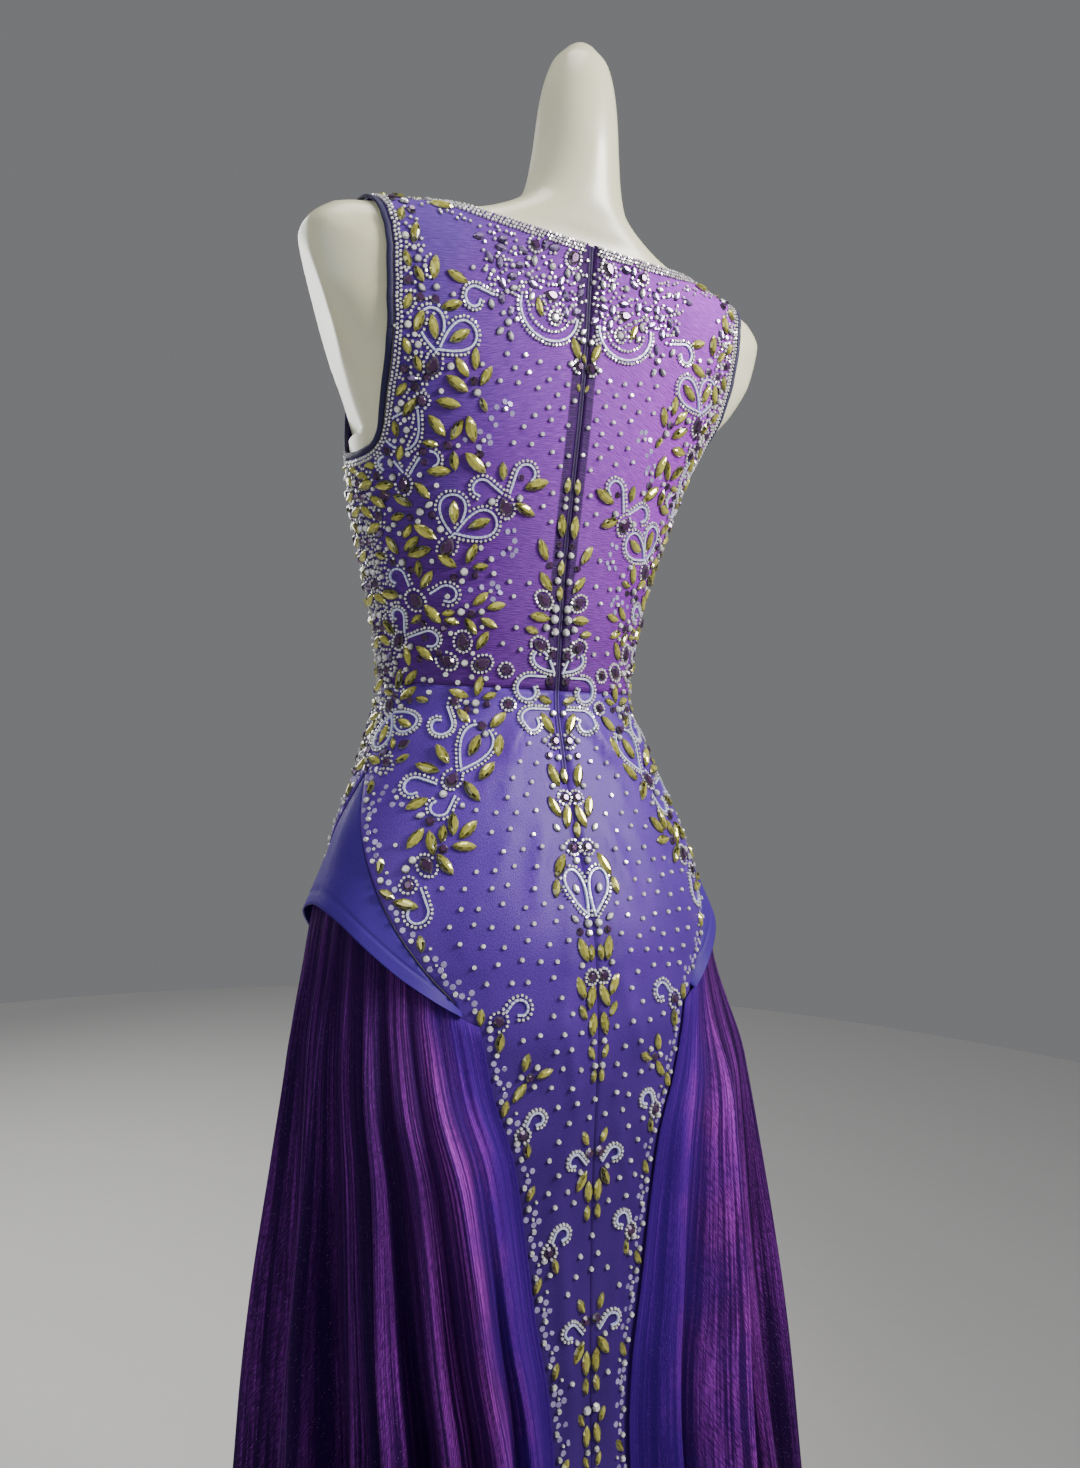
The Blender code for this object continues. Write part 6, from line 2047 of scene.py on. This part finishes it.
# outline, then ring by ring: share of the length, share of the width, height
stoneShapes = {
    kind: stoneShape(kind + "Cut", *row)
    for kind, row in {
        "leaf": (leafOutline, (0.94, 0.92, 0.0), (1.0, 1.0, 0.3), (0.82, 0.70, 0.75), (0.62, 0.26, 1.0)),
        "smallLeaf": (leafOutline, (0.95, 0.95, 0.0), (1.0, 1.0, 0.3), (0.66, 0.30, 1.0)),
        "drop": (dropOutline, (0.94, 0.94, 0.0), (1.0, 1.0, 0.3), (0.60, 0.55, 1.0)),
        "gem": (roundOutline(8), (0.92, 0.92, 0.0), (1.0, 1.0, 0.3), (0.56, 0.56, 1.0)),
        "round": (roundOutline(8), (0.92, 0.92, 0.0), (1.0, 1.0, 0.3), (0.55, 0.55, 1.0)),
        "lilac": (leafOutline, (0.95, 0.95, 0.0), (1.0, 1.0, 0.3), (0.60, 0.36, 1.0)),
        "petal": (leafOutline, (1.0, 1.0, 0.0), (0.96, 0.94, 0.4), (0.55, 0.40, 1.0)),
        "chip": (roundOutline(7), (1.0, 1.0, 0.0), (0.72, 0.72, 1.0)),
        "tiny": (roundOutline(5), (1.0, 1.0, 0.0), (0.74, 0.74, 1.0)),
        "bugle": (barOutline, (1.0, 1.0, 0.0), (0.94, 0.70, 1.0)),
        "sequin": (roundOutline(7), (1.0, 1.0, 0.0), (0.82, 0.82, 1.0)),
    }.items()
}


def stoneMaterial(name, settingAndShade, dark, bright, metallic, roughness, coat):
    constants = {"Metallic": metallic, "Coat Weight": coat, "Coat Roughness": 0.04}
    material, nodes, shader = newMaterial(name, constants)
    tone, paintedFacetLight, rim = (nodes.attribute(label) for label in ("tone", "paintedFacetLight", "rim"))
    # the value of each face paints reflected light and shade on the facets, and the lower rings' value paints
    # the mount with the shade under the stone
    share = nodes.plus(nodes.times(paintedFacetLight, 0.62), nodes.times(tone, 0.30))
    share = nodes.plus(share, nodes.times(nodes.noise(nodes.place(), 160.0), 0.20))
    glass = nodes.mix(nodes.span(share, 0.22, 0.88), dark, bright)
    nodes.link(nodes.mix(nodes.span(rim, 0.35, 0.95), glass, settingAndShade), shader["Base Color"])
    nodes.link(nodes.span(tone, 0.0, 1.0, roughness * 0.7, roughness * 1.5), shader["Roughness"])
    return material


# name, colour of the metal mount with the painted shade under the stone, of the facets in painted shade and
# of those with painted reflections, metallic, roughness, coat
stoneFinishes = {
    row[0]: stoneMaterial(*row)
    for row in (
        ("oliveLeafGlass", (0.20, 0.20, 0.12), (0.026, 0.026, 0.002), (0.74, 0.70, 0.13), 0.40, 0.10, 0.8),
        ("clearCrystal", (0.045, 0.035, 0.075), (0.36, 0.35, 0.36), (1.0, 1.0, 0.95), 0.10, 0.12, 0.8),
        ("darkAmethyst", (0.16, 0.14, 0.17), (0.006, 0.002, 0.010), (0.12, 0.045, 0.14), 0.45, 0.09, 0.8),
        ("lilacGlass", (0.05, 0.03, 0.08), (0.030, 0.008, 0.080), (0.42, 0.29, 0.60), 0.30, 0.09, 0.8),
        ("silverLining", (0.40, 0.45, 0.70), (0.55, 0.62, 0.95), (0.80, 0.86, 1.0), 0.05, 0.26, 0.3),
        ("paleSequin", (0.16, 0.11, 0.34), (0.17, 0.11, 0.38), (0.58, 0.50, 0.84), 0.25, 0.20, 0.3),
    )
}
stonePieces = (
    ("leafStones", ("leaf", "smallLeaf"), "oliveLeafGlass"),
    ("roundStones", ("round", "petal"), "clearCrystal"),
    ("amethystStones", ("drop", "gem"), "darkAmethyst"),
    ("lilacStones", ("lilac",), "lilacGlass"),
    ("singleCrystals", ("chip",), "clearCrystal"),
    ("tinyCrystals", ("tiny",), "clearCrystal"),
    ("silverBugles", ("bugle",), "silverLining"),
    ("paleSequins", ("sequin",), "paleSequin"),
)


def buildSettingTree():
    # a stone on each place, facing out of the cloth and leaning a little at random
    nodes, entry, leave = newGroup(
        "GeometryNodeTree",
        "setStones",
        [
            ("Places", "NodeSocketGeometry"),
            ("Stone", "NodeSocketObject"),
            ("Finish", "NodeSocketMaterial"),
            ("Tilt", "NodeSocketFloat", 0.05),
            ("Seed", "NodeSocketInt", 5),
        ],
        [("Stones", "NodeSocketGeometry")],
    )
    vector = {"data_type": "FLOAT_VECTOR"}

    def read(label):
        return nodes.add("GeometryNodeInputNamedAttribute", vector, Name=label)["Attribute"]

    stone = nodes.add("GeometryNodeObjectInfo", Object=entry["Stone"])["Geometry"]
    axes = {"primary_axis": "Z", "secondary_axis": "X"}
    facing = nodes.add("FunctionNodeAxesToRotation", axes, i0=read("facing"), i1=read("along"))[0]
    low, high = (nodes.combine(*[value] * 3) for value in (nodes.times(entry["Tilt"], -1.0), entry["Tilt"]))
    lean = nodes.add("FunctionNodeRandomValue", vector, i0=low, i1=high, Seed=entry["Seed"])[0]
    lean = nodes.add("FunctionNodeEulerToRotation", i0=lean)[0]
    turned = nodes.add("FunctionNodeRotateRotation", {"rotation_space": "LOCAL"}, i0=facing, i1=lean)[0]
    inputs = {"Points": entry["Places"], "Instance": stone, "Rotation": turned, "Scale": read("size")}
    spread = nodes.add("GeometryNodeInstanceOnPoints", **inputs)[0]
    real = nodes.add("GeometryNodeRealizeInstances", Geometry=spread)[0]
    nodes.link(nodes.add("GeometryNodeSetMaterial", Geometry=real, Material=entry["Finish"])[0], leave[0])
    return nodes.tree


settingTree = buildSettingTree()
settingInputs = [item for item in settingTree.interface.items_tree if item.in_out == "INPUT"]
settingSockets = {item.name: item.identifier for item in settingInputs}


def setKind(name, kind, finish, seed):
    # the stones of one kind, as one mesh
    place, facing, along, size = (np.array([row[k] for row in beadRows[kind]]) for k in range(4))
    cloud = bpy.data.meshes.new(name + "Places")
    cloud.from_pydata(place.tolist(), [], [])
    for label, values in (("facing", facing), ("along", along), ("size", size)):
        addValues(cloud, label, values)
    addValues(cloud, "tone", chance.random(len(place)))
    holder = addObject(name + kind, cloud)
    modifier = holder.modifiers.new("set stones", "NODES")
    modifier.node_group = settingTree
    for label, value in (
        ("Stone", stoneShapes[kind]),
        ("Finish", finish),
        ("Tilt", beading["kinds"][kind][3]),
        ("Seed", seed),
    ):
        modifier[settingSockets[label]] = value
    mesh = bpy.data.meshes.new_from_object(holder.evaluated_get(bpy.context.evaluated_depsgraph_get()))
    bpy.data.objects.remove(holder)
    return mesh


def buildStones(name, kinds, finish):
    # each kind is set on its own points, then all of them become one mesh
    parts = [setKind(name, kind, finish, 11 + number) for number, kind in enumerate(kinds)]
    parts[0].name = name
    piece = addObject(name, parts[0])
    others = [addObject(name + "More", mesh) for mesh in parts[1:]]
    if others:
        chosen = [piece, *others]
        with bpy.context.temp_override(
            active_object=piece, object=piece, selected_editable_objects=chosen, selected_objects=chosen
        ):
            bpy.ops.object.join()
    piece.data.materials.clear()
    piece.data.materials.append(finish)
    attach(piece, "root")
    print(name, len(piece.data.polygons), "faces")


for name, kinds, finishName in stonePieces:
    buildStones(name, kinds, stoneFinishes[finishName])
for shape in stoneShapes.values():
    bpy.data.objects.remove(shape)
print("stones set")

for node in ("form_pole", "form_base"):
    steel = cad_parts[node]
    steel.data.materials.clear()
    steel.data.materials.append(cloths["steel"])

# Studio: pale floor, pale surround, soft lights
studio = {
    "floorRadius": 3.2,
    "floorColours": ((0.80, 0.79, 0.77), (0.70, 0.69, 0.67)),
    "surround": (0.86, 0.87, 0.90, 1.0),
    "surroundStrength": 0.21,
    # name, place, target, size, watts, beam in degrees, colour
    "lights": (
        ("keyLight", (-1.02, 1.17, 2.05), (0.0, 0.0, 1.28), 0.7, 10.8, 80.0, (1.0, 0.97, 0.94)),
        ("fillLight", (1.9, 1.1, 1.5), (0.0, 0.0, 0.95), 1.6, 11.0, 180.0, (0.90, 0.93, 1.0)),
        ("frontLight", (0.4, -2.1, 1.9), (0.0, 0.0, 1.0), 1.5, 22.0, 180.0, (1.0, 1.0, 1.0)),
        ("topLight", (0.2, 0.3, 2.9), (0.0, 0.0, 1.2), 1.0, 14.0, 180.0, (1.0, 0.98, 0.96)),
    ),
}


def buildStudio():
    floor = addObject("studioFloor", bpy.data.meshes.new("studioFloor"))
    ring = arcPath(studio["floorRadius"], studio["floorRadius"], np.arange(0, 360, 3.75))
    floor.data.from_pydata([(x, y, 0.0) for x, y in ring], [], [list(range(len(ring)))])
    material, nodes, shader = newMaterial("paleFloor", {"Roughness": 0.75})
    specks = nodes.span(nodes.noise(nodes.place(), 40.0, 2.0), 0.3, 0.7, 0.0, 0.15)
    nodes.link(nodes.mix(specks, *studio["floorColours"]), shader["Base Color"])
    floor.data.materials.append(material)
    world = bpy.data.worlds.new("paleStudio")
    world.use_nodes = True
    background = world.node_tree.nodes["Background"].inputs
    background["Color"].default_value = studio["surround"]
    background["Strength"].default_value = studio["surroundStrength"]
    bpy.context.scene.world = world
    for name, place, target, size, watts, beam, colour in studio["lights"]:
        light = bpy.data.lights.new(name, "AREA")
        light.shape = "DISK"
        light.size = size
        light.energy = watts
        light.spread = math.radians(beam)
        light.color = colour
        lamp = addObject(name, light)
        lamp.location = place
        lamp.rotation_mode = "QUATERNION"
        lamp.rotation_quaternion = (Vector(target) - Vector(place)).to_track_quat("-Z", "Y")


def buildCamera():
    azimuth, elevation, roll = (math.radians(cameraSetup[k]) for k in ("azimuth", "elevation", "roll"))
    level = math.cos(elevation)
    back = Vector((math.sin(azimuth) * level, -math.cos(azimuth) * level, math.sin(elevation)))
    right = (-back).cross(Vector((0, 0, 1))).normalized()
    up = right.cross(-back)
    right, up = right * math.cos(roll) + up * math.sin(roll), up * math.cos(roll) - right * math.sin(roll)
    data = bpy.data.cameras.new("photoCamera")
    data.sensor_width = cameraSetup["sensor"]
    data.lens = cameraSetup["sensor"] * cameraSetup["focalPixels"] / cameraSetup["imageHeight"]
    data.clip_start = 0.01
    camera = addObject("photoCamera", data)
    matrix = Matrix((right, up, back)).transposed().to_4x4()
    matrix.translation = Vector(cameraSetup["target"]) + back * cameraSetup["distance"]
    camera.matrix_world = matrix
    bpy.context.scene.camera = camera


buildStudio()
buildCamera()
print("studio made")
